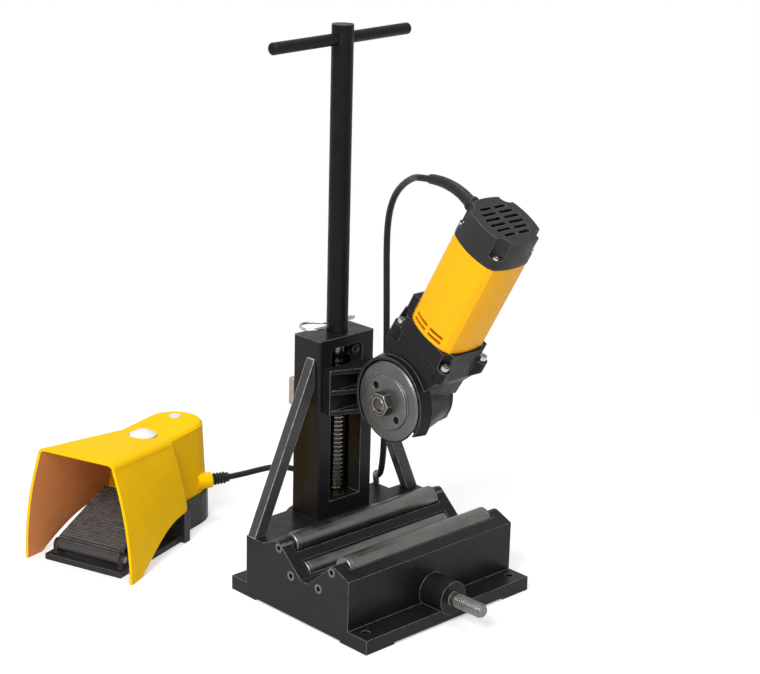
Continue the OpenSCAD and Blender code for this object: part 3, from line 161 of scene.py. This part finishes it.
def tube(name, path, radii, sides):
    """A closed tube round a path, with a radius for each point."""
    points = []
    side = None
    for i, p in enumerate(path):
        t = (path[min(i + 1, len(path) - 1)] - path[max(i - 1, 0)]).normalized()
        if side is None:
            across = Vector((0, 0, 1)) if abs(t.z) < ALONG_SHARE else Vector((0, 1, 0))
            side = t.cross(across).normalized()
        side = (side - t * side.dot(t)).normalized()
        other = t.cross(side)
        points += [p + radii[i] * (side * math.cos(a) + other * math.sin(a))
                   for a in round_angles(sides)]
    return make_object(name, points, skin(len(path), sides))


# Outline of a thread's ridge: place along the pitch and height above the root, as shares
RIDGE_SHARES = [(-0.36, -0.15), (-0.31, 0), (-0.21, 0.86), (-0.17, 1),
                (0.17, 1), (0.21, 0.86), (0.31, 0), (0.36, -0.15)]
RUN_OUT_TURNS = 0.5


def threaded(name, place, profile, pitch, root, crest, low, high, hand=1, around=44):
    """A turned rod with one helical ridge between two heights."""
    points, faces = turned_mesh(place, profile, ROD_SIDES)
    first = len(points)
    steps = int(around * (high - low) / pitch)
    count = len(RIDGE_SHARES)
    run_out = around * RUN_OUT_TURNS
    for i in range(steps + 1):
        a = hand * 2 * math.pi * i / around
        fade = min(1, i / run_out, (steps - i) / run_out)
        for along, up in RIDGE_SHARES:
            r = root + (crest - root) * (up if up < 0 else up * fade)
            points.append(place @ polar(r, a, low + pitch * (i / around + along)))
    ridge = []
    for i in range(steps):
        at, after = first + i * count, first + (i + 1) * count
        for k in range(count):
            ridge.append((at + k, after + k, after + (k + 1) % count, at + (k + 1) % count))
    ridge.append(tuple(range(first, first + count)))
    ridge.append(tuple(reversed(range(first + steps * count, first + (steps + 1) * count))))
    faces += ridge if hand > 0 else [tuple(reversed(face)) for face in ridge]
    return make_object(name, points, faces, THREAD_ANGLE)


# Cord: the routes of its three solids
CORD_D = 7.4
CORD_SIDES = 16
ROUTE_STEPS = 5
MOTOR_ROUTE = [
    (26.8, -20.1, 472.3), (27.7, -13.2, 471.5), (29.2, -3, 470.4), (34, 8, 468), (42, 23, 463),
    (50, 43, 452.5), (57, 62, 437), (62.5, 75.5, 417), (66, 82.5, 394), (67, 84, 368),
    (66, 82, 338), (64, 78.5, 300), (62, 75, 253), (61.5, 74.5, 205), (62, 75, 160),
    (64, 78, 128), (70, 87, 103), (82, 103.5, 89.5), (92.5, 115, 84.5), (102.3, 127.5, 79.7),
    (108.5, 135, 72.9), (113.9, 139.7, 63.5), (116.6, 141.8, 51.8), (116.4, 143.8, 32.1),
    (117.9, 147.7, 20.6), (120.2, 153.1, 13.2), (122, 159, 8.5), (123.4, 166.2, 5.3),
    (124.2, 174.7, 4), (123.6, 183.1, 4)]
SWITCH_ROUTE = [
    (123.6, 198.8, 12.4), (123.6, 206, 12.6), (124.5, 216, 15), (124, 232, 22), (118, 249, 31),
    (106, 264, 40), (88, 274, 47), (68, 277.5, 51), (50, 278, 52.5), (30, 280, 52.5),
    (11.2, 283.7, 52), (4.5, 285.6, 52)]
COIL_AT = (75.6, 191)
COIL_OUT, COIL_IN, COIL_TURNS = 48, 32, 4
COIL_LOW, COIL_HIGH = 4, 12.4
COIL_STEPS = 160


def coil_points():
    """Two flat layers: the cord winds in below, climbs during one turn and winds out above."""
    points = []
    for i in range(COIL_STEPS + 1):
        t = i / COIL_STEPS
        a = 2 * math.pi * COIL_TURNS * t
        r = COIL_IN + (COIL_OUT - COIL_IN) * abs(2 * t - 1)
        climb = max(0, min(1, (t - 0.5) * COIL_TURNS + 0.5))
        z = COIL_LOW + (COIL_HIGH - COIL_LOW) * (3 - 2 * climb) * climb * climb
        points.append(bed(COIL_AT[0] + r * math.cos(a), COIL_AT[1] + r * math.sin(a), z))
    return points


def make_cord():
    motor_part = spline([bed(*p) for p in MOTOR_ROUTE], ROUTE_STEPS)
    switch_part = spline([bed(*p) for p in SWITCH_ROUTE], ROUTE_STEPS)
    path = motor_part + coil_points() + switch_part
    cord = tube("supply_cord", path, [CORD_D / 2 * MM] * len(path), CORD_SIDES)
    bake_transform(cord)
    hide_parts("motor_cord", "cord_coil", "switch_cord")
    return cord


# Stud and feed screw: radii and places along the rod
STUD_AT = (0, -76.5, 28.5)
STUD_PROFILE = [(8, 0), (8, 24.5), (7, 25.2), (7, 30), (7, 68.3), (6, 69.5)]
SPINDLE_AT = (0, 90.8, 0)
SPINDLE_PROFILE = [(6, 80.8), (6, 95.4), (8, 97.4), (8, 255), (9.7, 256.7), (9.7, 270.5),
                   (8, 272), (8, 313.3)]


def make_stud():
    place = Matrix.Translation(bed(*STUD_AT)) @ turned(90, "X")
    stud = threaded("stud", place, STUD_PROFILE, pitch=3.2, root=7, crest=8,
                    low=31.2, high=68.2, around=40)
    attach(stud, "frame")
    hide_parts("mounting_stud")
    return stud


def make_spindle():
    screw = threaded("feed_screw", Matrix.Translation(bed(*SPINDLE_AT)), SPINDLE_PROFILE,
                     pitch=5, root=8, crest=10, low=99.5, high=255, hand=-1)
    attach(screw, "screw")
    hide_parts("spindle")
    return screw


# Hairpin through the handle tube
CLIP_WIRE_R = 1.35
CLIP_SIDES, CLIP_STEPS = 16, 8
CLIP_Z = 295.4
CLIP_ROUTE = [
    (20.5, 94.8), (25.6, 96.8), (28.4, 94.4), (25, 91.7), (17, 91.2), (9, 90.9), (-9.5, 89.6),
    (-20, 84.9), (-30.5, 81.6), (-41, 83.2), (-47.4, 90.7), (-45.8, 100.2), (-37.4, 108.4),
    (-28.8, 108.2), (-21, 103), (-15.4, 97), (-14.6, 93.8)]


def make_clip():
    path = spline([bed(x, y, CLIP_Z) for x, y in CLIP_ROUTE], CLIP_STEPS)
    clip = tube("hairpin", path, [CLIP_WIRE_R * MM] * len(path), CLIP_SIDES)
    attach(clip, "screw")
    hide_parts("handle_clip")
    return clip


# Cutting wheel: its section as radii and places along X, and its two holes
WHEEL_PROFILE = [
    (30.4, -10.6), (31, -10), (31, -8), (31.6, -7.6), (43.2, -7.6), (45.2, -6.1),
    (43.2, -4.6), (31, -4.6), (31, -1.6), (10.05, -1.6), (10.05, -10.6)]
WHEEL_SIDES = 120
WHEEL_HOLE_R, WHEEL_HOLE_AT, WHEEL_HOLE_TURNS = 4.3, 22.8, (45, 225)
WHEEL_HOLE_ENDS, WHEEL_HOLE_SIDES = (-14, 2), 40


def make_wheel():
    place = Matrix.Translation(bed(0, 0, AXIS_Z)) @ turned(90, "Y")
    wheel = make_object("cutting_disc", *turned_mesh(place, WHEEL_PROFILE, WHEEL_SIDES, ring=True),
                        WHEEL_ANGLE)
    holes = []
    for degrees in WHEEL_HOLE_TURNS:
        a = math.radians(degrees)
        at = bed(0, WHEEL_HOLE_AT * math.cos(a), AXIS_Z + WHEEL_HOLE_AT * math.sin(a))
        shape = turned_mesh(Matrix.Translation(at) @ turned(90, "Y"),
                            [(WHEEL_HOLE_R, x) for x in WHEEL_HOLE_ENDS], WHEEL_HOLE_SIDES)
        holes.append(make_object("hole_shape", *shape))
        cut = wheel.modifiers.new("hole", "BOOLEAN")
        cut.operation, cut.solver, cut.object = "DIFFERENCE", "EXACT", holes[-1]
    ready = wheel.evaluated_get(bpy.context.evaluated_depsgraph_get())
    mesh = bpy.data.meshes.new_from_object(ready)
    wheel.modifiers.clear()
    wheel.data = mesh
    for hole in holes:
        bpy.data.objects.remove(hole)
    smooth(mesh, WHEEL_ANGLE)
    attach(wheel, "wheel")
    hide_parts("cutting_wheel")
    return wheel


# Keeper plate behind the column, which reaches nearly as wide as the column
KEEPER_HALF_WIDE = 40
KEEPER_LOW, KEEPER_HIGH = 198.5, 230.5
KEEPER_NEAR, KEEPER_FAR = 117, 125
KEEPER_CORNER, KEEPER_CORNER_STEPS = 2.5, 6
KEEPER_EDGE, KEEPER_EDGE_STEPS, KEEPER_EDGE_SHAPE = 0.8, 2, 0.7
# Angle in radians above which the plate's edges are broken
KEEPER_EDGE_ANGLE = 1


def make_keeper():
    middle, half_high = (KEEPER_LOW + KEEPER_HIGH) / 2, (KEEPER_HIGH - KEEPER_LOW) / 2
    outline = []
    for cx, cz, start in ((1, 1, 0), (-1, 1, 90), (-1, -1, 180), (1, -1, 270)):
        for k in range(KEEPER_CORNER_STEPS + 1):
            a = math.radians(start + 90 * k / KEEPER_CORNER_STEPS)
            x = cx * (KEEPER_HALF_WIDE - KEEPER_CORNER) + KEEPER_CORNER * math.cos(a)
            z = middle + cz * (half_high - KEEPER_CORNER) + KEEPER_CORNER * math.sin(a)
            outline.append((x, z))
    mesh = bmesh.new()
    rim = [mesh.verts.new(bed(x, KEEPER_NEAR, z)) for x, z in outline]
    back = [mesh.verts.new(bed(x, KEEPER_FAR, z)) for x, z in outline]
    mesh.faces.new(rim)
    mesh.faces.new(list(reversed(back)))
    for k in range(len(rim)):
        m = (k + 1) % len(rim)
        mesh.faces.new((rim[m], rim[k], back[k], back[m]))
    edges = [e for e in mesh.edges if e.calc_face_angle() > KEEPER_EDGE_ANGLE]
    bmesh.ops.bevel(mesh, geom=edges, offset=KEEPER_EDGE * MM, segments=KEEPER_EDGE_STEPS,
                    affect="EDGES", profile=KEEPER_EDGE_SHAPE)
    bmesh.ops.recalc_face_normals(mesh, faces=mesh.faces)
    data = bpy.data.meshes.new("keeper_plate")
    mesh.to_mesh(data)
    mesh.free()
    keeper = add_object("keeper_plate", data)
    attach(keeper, "head")
    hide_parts("back_plate")
    return keeper


# Bend relief of the cord, in the motor's own frame, with its foot on the cap
MOTOR_PLACE = Matrix.Translation(bed(30.5, 0, AXIS_Z)) @ turned(29.4, "X")
SLEEVE_FOOT = Vector((-10.5, 35.4, 244.7))
SLEEVE_ROUTE = [
    (0, 0, 0), (0, 8.1, 0), (1, 19.1, -0.7), (2.3, 32.4, -3.6), (4, 47.5, -9.3),
    (6, 61.6, -17), (6.8, 67.2, -20.9)]
SLEEVE_STEPS, SLEEVE_SIDES = 10, 28
SLEEVE_R, SLEEVE_TAPER = 7.1, 1.9
# Its collar: how far it stands out, and its middle and half width as shares of the length
COLLAR_OUT = 1.9
COLLAR_AT_SHARE, COLLAR_HALF_SHARE = 0.07, 0.075


def make_sleeve():
    path = spline([MOTOR_PLACE @ ((SLEEVE_FOOT + Vector(p)) * MM) for p in SLEEVE_ROUTE],
                  SLEEVE_STEPS)
    radii = []
    for i in range(len(path)):
        f = i / (len(path) - 1)
        collar = COLLAR_OUT * max(0, 1 - abs(f - COLLAR_AT_SHARE) / COLLAR_HALF_SHARE) ** 0.5
        radii.append((SLEEVE_R - SLEEVE_TAPER * f + collar) * MM)
    sleeve = tube("bend_relief", path, radii, SLEEVE_SIDES)
    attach(sleeve, "head")
    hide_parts("cable_sleeve")
    return sleeve


# Spring under the pedal, between the ends of its solid
SPRING_R, SPRING_WIRE_R = 8, 1
SPRING_TURNS, SPRING_STEPS, SPRING_SIDES = 7, 140, 8


def make_spring():
    solid = NODE["pedal_spring"]
    corners = [solid.matrix_world @ Vector(c) for c in solid.bound_box]
    low, high = min(c.z for c in corners), max(c.z for c in corners)
    middle = sum(corners, Vector()) / len(corners)
    wire = SPRING_WIRE_R * MM
    path = []
    for i in range(SPRING_STEPS + 1):
        f = i / SPRING_STEPS
        a = 2 * math.pi * SPRING_TURNS * f
        path.append(Vector((middle.x + SPRING_R * MM * math.cos(a),
                            middle.y + SPRING_R * MM * math.sin(a),
                            low + wire + (high - low - 2 * wire) * f)))
    spring = tube("coil_spring", path, [wire] * len(path), SPRING_SIDES)
    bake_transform(spring)
    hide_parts("pedal_spring")
    return spring


# Materials: sockets of the colour mix, and spans of the noise that fade one look into another
MIX_SHARE, MIX_FIRST, MIX_SECOND, MIX_RESULT = 0, 6, 7, 2
PATCH_SPAN, GRAIN_SPAN, BREAKUP_SPAN = (0.35, 0.65), (0.3, 0.7), (0.3, 0.52)
SPECKLE_FADE = 0.06
PATCH_DETAIL, GRAIN_DETAIL, SPECKLE_DETAIL, BREAKUP_DETAIL, ROUGH_DETAIL = 4, 2, 1, 3, 3
NOISE_ROUGH = 0.55
BREAKUP_SCALE = 140
# Roughness changes over patches this many times finer than the colour's
ROUGH_FINER = 2.3
LEAST_ROUGH = 0.02
# Brushed lines: their colour as a share of the base colour, and how much of it shows at most
LINE_SHARE, LINE_MOST = 0.55, 0.5
# Likeness of the rounded and the true normal above which a place counts as flat
FLAT = 0.995
EDGE_SAMPLES, BEVEL_SAMPLES = 10, 8


def new_material(name):
    material = bpy.data.materials.new(name)
    material.use_nodes = True
    tree = material.node_tree
    tree.nodes.clear()
    output = tree.nodes.new("ShaderNodeOutputMaterial")
    shader = tree.nodes.new("ShaderNodeBsdfPrincipled")
    tree.links.new(shader.outputs[0], output.inputs[0])
    return material, tree, shader


def noise(tree, scale, detail, stretch=None):
    place = tree.nodes.new("ShaderNodeTexCoord")
    source = place.outputs["Object"]
    if stretch:
        mapping = tree.nodes.new("ShaderNodeMapping")
        mapping.inputs["Scale"].default_value = stretch
        tree.links.new(source, mapping.inputs["Vector"])
        source = mapping.outputs[0]
    texture = tree.nodes.new("ShaderNodeTexNoise")
    texture.inputs["Scale"].default_value = scale
    texture.inputs["Detail"].default_value = detail
    texture.inputs["Roughness"].default_value = NOISE_ROUGH
    tree.links.new(source, texture.inputs["Vector"])
    return texture.outputs["Fac"]


def remap(tree, value, span, target=(0, 1)):
    """The value's span stretched over the target."""
    node = tree.nodes.new("ShaderNodeMapRange")
    for key, number in zip(("From Min", "From Max", "To Min", "To Max"), (*span, *target)):
        node.inputs[key].default_value = number
    tree.links.new(value, node.inputs["Value"])
    return node.outputs[0]


def feed(tree, socket, value):
    """Give a socket a colour, a number or another node's output."""
    if isinstance(value, tuple):
        socket.default_value = (*value, 1)
    elif isinstance(value, (int, float)):
        socket.default_value = value
    else:
        tree.links.new(value, socket)


def math_node(tree, operation, a, b):
    node = tree.nodes.new("ShaderNodeMath")
    node.operation = operation
    feed(tree, node.inputs[0], a)
    feed(tree, node.inputs[1], b)
    return node.outputs[0]


def mixed(tree, share, first, second):
    node = tree.nodes.new("ShaderNodeMix")
    node.data_type = "RGBA"
    feed(tree, node.inputs[MIX_SHARE], share)
    feed(tree, node.inputs[MIX_FIRST], first)
    feed(tree, node.inputs[MIX_SECOND], second)
    return node.outputs[MIX_RESULT]


def rounded_normal(tree, radius, samples):
    bevel = tree.nodes.new("ShaderNodeBevel")
    bevel.samples = samples
    bevel.inputs["Radius"].default_value = radius * MM
    return bevel.outputs[0]


def edge_mask(tree, radius, full):
    """One on edges within the radius, zero on flat surfaces."""
    geometry = tree.nodes.new("ShaderNodeNewGeometry")
    dot = tree.nodes.new("ShaderNodeVectorMath")
    dot.operation = "DOT_PRODUCT"
    tree.links.new(rounded_normal(tree, radius, EDGE_SAMPLES), dot.inputs[0])
    tree.links.new(geometry.outputs["Normal"], dot.inputs[1])
    return remap(tree, dot.outputs["Value"], (FLAT, full))


def surface(name, color, rough, variation, patch, grain, grain_depth, bevel, metal=0,
            specular=0.5, rough_spread=0.08, stretch=None, sheen=0, wear_and_highlight=None, wear_and_highlight_share=0.5,
            wear_and_highlight_radius=1.4, wear_and_highlight_full=0.88, wear_and_highlight_least=0.25, speckle=None, speckle_scale=1500,
            speckle_low=0.68):
    """One finish: colour patches, changing roughness, grain in the bump, and rounded edges whose
    lighter colour is partly wear and partly painted highlight. Lengths are in millimetres, scales
    of patches and grain per metre."""
    material, tree, shader = new_material(name)
    dark = tuple(c * (1 - variation) for c in color)
    light = tuple(min(1, c * (1 + variation)) for c in color)
    base = mixed(tree, remap(tree, noise(tree, patch, PATCH_DETAIL), PATCH_SPAN), dark, light)
    fine = noise(tree, grain, GRAIN_DETAIL, stretch)
    if speckle:
        spots = remap(tree, noise(tree, speckle_scale, SPECKLE_DETAIL),
                      (speckle_low, speckle_low + SPECKLE_FADE))
        base = mixed(tree, spots, base, speckle)
    if stretch:
        lines = remap(tree, fine, GRAIN_SPAN, (0, LINE_MOST))
        base = mixed(tree, lines, base, tuple(c * LINE_SHARE for c in color))
    # Lighter edges: partly wear, partly painted highlight where rounded edges catch the light.
    if wear_and_highlight:
        breakup = remap(tree, noise(tree, BREAKUP_SCALE, BREAKUP_DETAIL), BREAKUP_SPAN, (wear_and_highlight_least, 1))
        edges = math_node(tree, "MULTIPLY", edge_mask(tree, wear_and_highlight_radius, wear_and_highlight_full), breakup)
        base = mixed(tree, math_node(tree, "MULTIPLY", edges, wear_and_highlight_share), base, wear_and_highlight)
    tree.links.new(base, shader.inputs["Base Color"])
    roughness = remap(tree, noise(tree, patch * ROUGH_FINER, ROUGH_DETAIL), GRAIN_SPAN,
                      (max(LEAST_ROUGH, rough - rough_spread), rough + rough_spread))
    tree.links.new(roughness, shader.inputs["Roughness"])
    shader.inputs["Metallic"].default_value = metal
    shader.inputs["Specular IOR Level"].default_value = specular
    shader.inputs["Sheen Weight"].default_value = sheen
    normal = rounded_normal(tree, bevel, BEVEL_SAMPLES) if bevel else None
    bump = tree.nodes.new("ShaderNodeBump")
    bump.inputs["Distance"].default_value = grain_depth * MM
    bump.inputs["Strength"].default_value = 1
    tree.links.new(fine, bump.inputs["Height"])
    if normal:
        tree.links.new(normal, bump.inputs["Normal"])
    tree.links.new(bump.outputs[0], shader.inputs["Normal"])
    return material


def linear(c):
    """A screen value from 0 to 255 as linear light, by the sRGB curve."""
    return c / 255 / 12.92 if c / 255 <= 0.04045 else ((c / 255 + 0.055) / 1.055) ** 2.4


def rgb(r, g, b):
    return linear(r), linear(g), linear(b)


# The lighter edge colours below are partly wear and partly painted highlight where rounded edges
# catch the light.
PAINT = surface("black_paint", rgb(25, 24, 25), rough=0.36, specular=0.16, variation=0.14,
                patch=35, grain=2400, grain_depth=0.01, bevel=1.4,
                wear_and_highlight=rgb(136, 134, 132), wear_and_highlight_share=0.7, speckle=rgb(52, 50, 50))
CAST = surface("black_casting", rgb(24, 23, 24), rough=0.38, specular=0.15, variation=0.16,
               patch=40, grain=1500, grain_depth=0.02, bevel=1.8,
               wear_and_highlight=rgb(134, 132, 130), wear_and_highlight_share=0.6, speckle=rgb(60, 58, 58))
BRACE = surface("brace_paint", rgb(62, 62, 63), rough=0.38, specular=0.3, variation=0.14,
                patch=45, grain=1, stretch=(900, 900, 2600), grain_depth=0.01, bevel=1.2,
                wear_and_highlight=rgb(196, 194, 190), wear_and_highlight_share=0.9, wear_and_highlight_radius=1.7)
SATIN = surface("black_satin", rgb(22, 21, 22), rough=0.38, specular=0.1, variation=0.12,
                patch=30, grain=2600, grain_depth=0.006, bevel=0.8, wear_and_highlight=rgb(110, 108, 106))
ROLLER = surface("roller_steel", rgb(122, 121, 118), rough=0.36, metal=1, variation=0.12,
                 patch=22, grain=1, stretch=(300, 2600, 2600), grain_depth=0.003, bevel=0.5,
                 speckle=rgb(92, 91, 89), speckle_scale=900, speckle_low=0.64)
STEEL = surface("bare_steel", rgb(128, 126, 123), rough=0.3, metal=1, variation=0.15,
                patch=60, grain=1, stretch=(1800, 1800, 300), grain_depth=0.004, bevel=0.3)
BRIGHT = surface("ground_steel", rgb(176, 172, 170), rough=0.36, metal=0.45, variation=0.1,
                 patch=60, grain=1, stretch=(300, 2400, 2400), grain_depth=0.003, bevel=0.5)
STUD = surface("stud_steel", rgb(124, 122, 119), rough=0.32, metal=0.85, variation=0.12,
               patch=90, grain=1500, grain_depth=0.002, bevel=0.2)
SCREW = surface("oiled_steel", rgb(112, 109, 105), rough=0.24, metal=1, variation=0.12,
                patch=90, grain=1500, grain_depth=0.002, bevel=0.3)
AXLE = surface("axle_steel", rgb(112, 109, 105), rough=0.36, metal=1, variation=0.2,
               patch=300, grain=2500, grain_depth=0.004, bevel=0.4)
ZINC = surface("zinc_plate", rgb(190, 189, 185), rough=0.24, metal=1, variation=0.12,
               patch=160, grain=2500, grain_depth=0.003, bevel=0.4)
BRONZE = surface("bare_bronze", rgb(176, 140, 84), rough=0.34, metal=1, variation=0.15,
                 patch=90, grain=1800, grain_depth=0.005, bevel=0.3)
TOOL = surface("tool_steel", rgb(104, 106, 107), rough=0.36, metal=0.85, variation=0.1,
               rough_spread=0.07, patch=45, grain=1400, grain_depth=0.005, bevel=0.6,
               wear_and_highlight=rgb(184, 183, 178), wear_and_highlight_share=0.8, wear_and_highlight_radius=0.8,
               speckle=rgb(138, 139, 139), speckle_scale=1300, speckle_low=0.66)
# The nut's bright warm rim round its chamfers is a painted highlight.
NUT = surface("nut_steel", rgb(86, 84, 81), rough=0.28, metal=0.9, variation=0.1,
              patch=120, grain=1600, grain_depth=0.003, bevel=0.6,
              wear_and_highlight=rgb(228, 217, 200), wear_and_highlight_share=1, wear_and_highlight_radius=1, wear_and_highlight_full=0.94, wear_and_highlight_least=1)
COPPER = surface("winding", rgb(120, 70, 44), rough=0.45, metal=0.4, variation=0.3,
                 patch=400, grain=1, stretch=(600, 600, 3500), grain_depth=0.03, bevel=0)
YELLOW = surface("motor_yellow", rgb(252, 180, 12), rough=0.42, specular=0.16, variation=0.03,
                 rough_spread=0.05, patch=20, grain=2600, grain_depth=0.006, bevel=2.2)
HOOD = surface("hood_yellow", rgb(252, 198, 8), rough=0.5, specular=0.04, variation=0.03,
               rough_spread=0.05, patch=18, grain=2200, grain_depth=0.008, bevel=1.5)
# Painted shade: the darker colour of the walls inside the motor's vents.
VENT_SHADE = surface("vent_walls_painted_shade", rgb(222, 138, 14), rough=0.6, specular=0.1, variation=0.15,
               patch=60, grain=1800, grain_depth=0.01, bevel=0)
# Painted shade: the darker, browner colour of the faces inside the hood's tunnel.
HOOD_SHADE = surface("hood_inside_painted_shade", rgb(222, 146, 88), rough=0.6, specular=0.08, variation=0.04,
                 rough_spread=0.05, patch=18, grain=2200, grain_depth=0.008, bevel=0)
CHARCOAL = surface("charcoal_plastic", rgb(42, 41, 42), rough=0.44, specular=0.2, variation=0.1,
                   patch=40, grain=2400, grain_depth=0.014, bevel=1.4, wear_and_highlight=rgb(124, 122, 120))
RUBBER = surface("black_rubber", rgb(26, 26, 27), rough=0.48, specular=0.26, variation=0.12,
                 sheen=0.03, patch=80, grain=2400, grain_depth=0.008, bevel=0)
# The lighter rib edges of the pedal are mostly painted highlight.
PEDAL = surface("pedal_rubber", rgb(60, 58, 57), rough=0.42, specular=0.4, variation=0.1,
                patch=60, grain=2400, grain_depth=0.008, bevel=0.5,
                wear_and_highlight=rgb(168, 164, 158), wear_and_highlight_share=0.7, wear_and_highlight_radius=0.9)
WHITE = surface("white_plastic", rgb(222, 222, 232), rough=0.35, specular=0.4, variation=0.03,
                patch=60, grain=2000, grain_depth=0.003, bevel=0.6)

# Finish of each solid that shows
FINISHES = (
    (PAINT, ("base_block", "column")),
    (CAST, ("gear_housing", "gear_cover", "stop_screw")),
    (BRACE, ("left_brace", "right_brace")),
    (SATIN, ("handle_tube", "t_bar")),
    (ROLLER, ("front_outer_roller", "front_inner_roller", "rear_inner_roller",
              "rear_outer_roller")),
    (AXLE, ("roller_axles",)),
    (STEEL, ("slide_block", "output_bearings", "crown_gear", "bevel_pinion", "planet_gearbox",
             "motor_bearing", "pedal_pin")),
    (ZINC, ("column_bolts", "back_plate_screws", "gear_cover_screws", "flange_screws",
            "cap_screws")),
    (BRONZE, ("upper_bush", "lower_bush", "spindle_nut", "brush_holders")),
    (NUT, ("output_shaft", "wheel_nut")),
    (COPPER, ("stator", "armature")),
    (YELLOW, ("motor_housing",)),
    (HOOD, ("switch_hood",)),
    (CHARCOAL, ("cooling_fan", "motor_end_cap", "switch_base")),
    (RUBBER, ("cable_gland",)),
    (PEDAL, ("pedal",)),
    (WHITE, ("reset_button", "signal_lens")),
)
for finish, names in FINISHES:
    for name in names:
        mesh = NODE[name].data
        mesh.materials.clear()
        mesh.materials.append(finish)
        for polygon in mesh.polygons:
            polygon.material_index = 0


# Second finishes, which paint shade into recesses: the vents lie between two heights above the
# motor's foot
VENTS_LOW, VENTS_HIGH = 2.5, 14
# The hood's tunnel runs along X of the switch's own frame, round an axis at a height
SWITCH_PLACE = Matrix.Translation(bed(-227.7, 270.7, 0)) @ turned(18, "Z")
TUNNEL_LONG, TUNNEL_AXIS_Z = 132, 70
# Part of a wall's unit normal that may point along the tunnel
WALL_SLANT_SHARE = 0.6


def shade_vents():
    """The walls of the motor's vents get a darker colour than their skin: painted shade inside the
    slots.
    """
    housing = NODE["motor_housing"]
    housing.data.materials.append(VENT_SHADE)
    to_motor = MOTOR_PLACE.inverted() @ housing.matrix_world
    turn = to_motor.to_3x3()
    foot = min((to_motor @ v.co).z for v in housing.data.vertices)
    for polygon in housing.data.polygons:
        height = (to_motor @ polygon.center).z - foot
        facing = turn @ polygon.normal
        if VENTS_LOW * MM < height < VENTS_HIGH * MM and abs(facing.z) > ALONG_SHARE:
            polygon.material_index = 1


def shade_hood_inside():
    """Give the faces that look into the hood's tunnel a darker, browner colour: painted shade
    inside the tunnel.
    """
    hood = NODE["switch_hood"]
    hood.data.materials.append(HOOD_SHADE)
    to_switch = SWITCH_PLACE.inverted() @ hood.matrix_world
    turn = to_switch.to_3x3()
    for polygon in hood.data.polygons:
        at = to_switch @ polygon.center
        facing = turn @ polygon.normal
        inward = at.y * facing.y + (at.z - TUNNEL_AXIS_Z * MM) * facing.z < 0
        if at.x < TUNNEL_LONG * MM and inward and abs(facing.x) < WALL_SLANT_SHARE:
            polygon.material_index = 1


shade_hood_inside()
shade_vents()

for piece, finish in ((make_cord(), RUBBER), (make_stud(), STUD), (make_spindle(), SCREW),
                      (make_clip(), ZINC), (make_sleeve(), RUBBER), (make_spring(), STEEL),
                      (make_keeper(), BRIGHT), (make_wheel(), TOOL)):
    piece.data.materials.append(finish)


# Stage: grey round the object and plain white farther out, with a glow only where it is seen
FLOOR_GREY, FLOOR_ROUGH, FLOOR_GLOW = 0.7, 0.9, 0.42
FLOOR_HALF, FLOOR_Z = 20, -0.0002
FLOOR_FADE = (0.4, 0.95)
WORLD_LIGHT = 0.42
LAMP_TARGET = Vector((0, 0, 0.2))
# Lamps: name, place and size in metres, and watts
LAMPS = (("key", (-2.0, -0.8, 1.9), 1.3, 60),
         ("top", (0.2, 0.3, 2.8), 1.6, 30),
         ("fill", (-0.9, -2.3, 1.3), 1.6, 8))


def showing_rays(tree):
    """One for the rays that show the stage itself, zero for those that light the object."""
    path = tree.nodes.new("ShaderNodeLightPath")
    seen = math_node(tree, "MAXIMUM", path.outputs["Is Camera Ray"], path.outputs["Is Glossy Ray"])
    return math_node(tree, "MAXIMUM", seen, path.outputs["Is Transmission Ray"])


def make_floor():
    material, tree, shader = new_material("floor")
    shader.inputs["Base Color"].default_value = (FLOOR_GREY, FLOOR_GREY, FLOOR_GREY, 1)
    shader.inputs["Roughness"].default_value = FLOOR_ROUGH
    shader.inputs["Specular IOR Level"].default_value = 0
    seen = showing_rays(tree)
    glow = tree.nodes.new("ShaderNodeEmission")
    tree.links.new(math_node(tree, "MULTIPLY", seen, FLOOR_GLOW), glow.inputs["Strength"])
    near = tree.nodes.new("ShaderNodeAddShader")
    tree.links.new(shader.outputs[0], near.inputs[0])
    tree.links.new(glow.outputs[0], near.inputs[1])
    white = tree.nodes.new("ShaderNodeEmission")
    place = tree.nodes.new("ShaderNodeTexCoord")
    reach = tree.nodes.new("ShaderNodeVectorMath")
    reach.operation = "LENGTH"
    tree.links.new(place.outputs["Object"], reach.inputs[0])
    far = remap(tree, reach.outputs["Value"], FLOOR_FADE)
    fade = tree.nodes.new("ShaderNodeMixShader")
    tree.links.new(math_node(tree, "MULTIPLY", seen, far), fade.inputs[0])
    tree.links.new(near.outputs[0], fade.inputs[1])
    tree.links.new(white.outputs[0], fade.inputs[2])
    output = next(n for n in tree.nodes if n.type == "OUTPUT_MATERIAL")
    tree.links.new(fade.outputs[0], output.inputs[0])
    corners = ((-1, -1), (1, -1), (1, 1), (-1, 1))
    floor = make_object("floor", [(FLOOR_HALF * x, FLOOR_HALF * y, FLOOR_Z) for x, y in corners],
                        [(0, 1, 2, 3)])
    floor.data.materials.append(material)


def make_world():
    world = bpy.data.worlds.new("world")
    bpy.context.scene.world = world
    world.use_nodes = True
    tree = world.node_tree
    tree.nodes.clear()
    background = tree.nodes.new("ShaderNodeBackground")
    output = tree.nodes.new("ShaderNodeOutputWorld")
    strength = remap(tree, showing_rays(tree), (0, 1), (WORLD_LIGHT, 1))
    tree.links.new(strength, background.inputs["Strength"])
    tree.links.new(background.outputs[0], output.inputs[0])


def add_lamp(name, place, size, watts):
    data = bpy.data.lights.new(name, "AREA")
    data.shape = "DISK"
    data.size = size
    data.energy = watts
    lamp = add_object(name, data)
    lamp.location = place
    lamp.rotation_euler = (LAMP_TARGET - Vector(place)).to_track_quat("-Z", "Y").to_euler()


make_floor()
make_world()
for lamp in LAMPS:
    add_lamp(*lamp)

bpy.context.scene.view_settings.view_transform = "Standard"
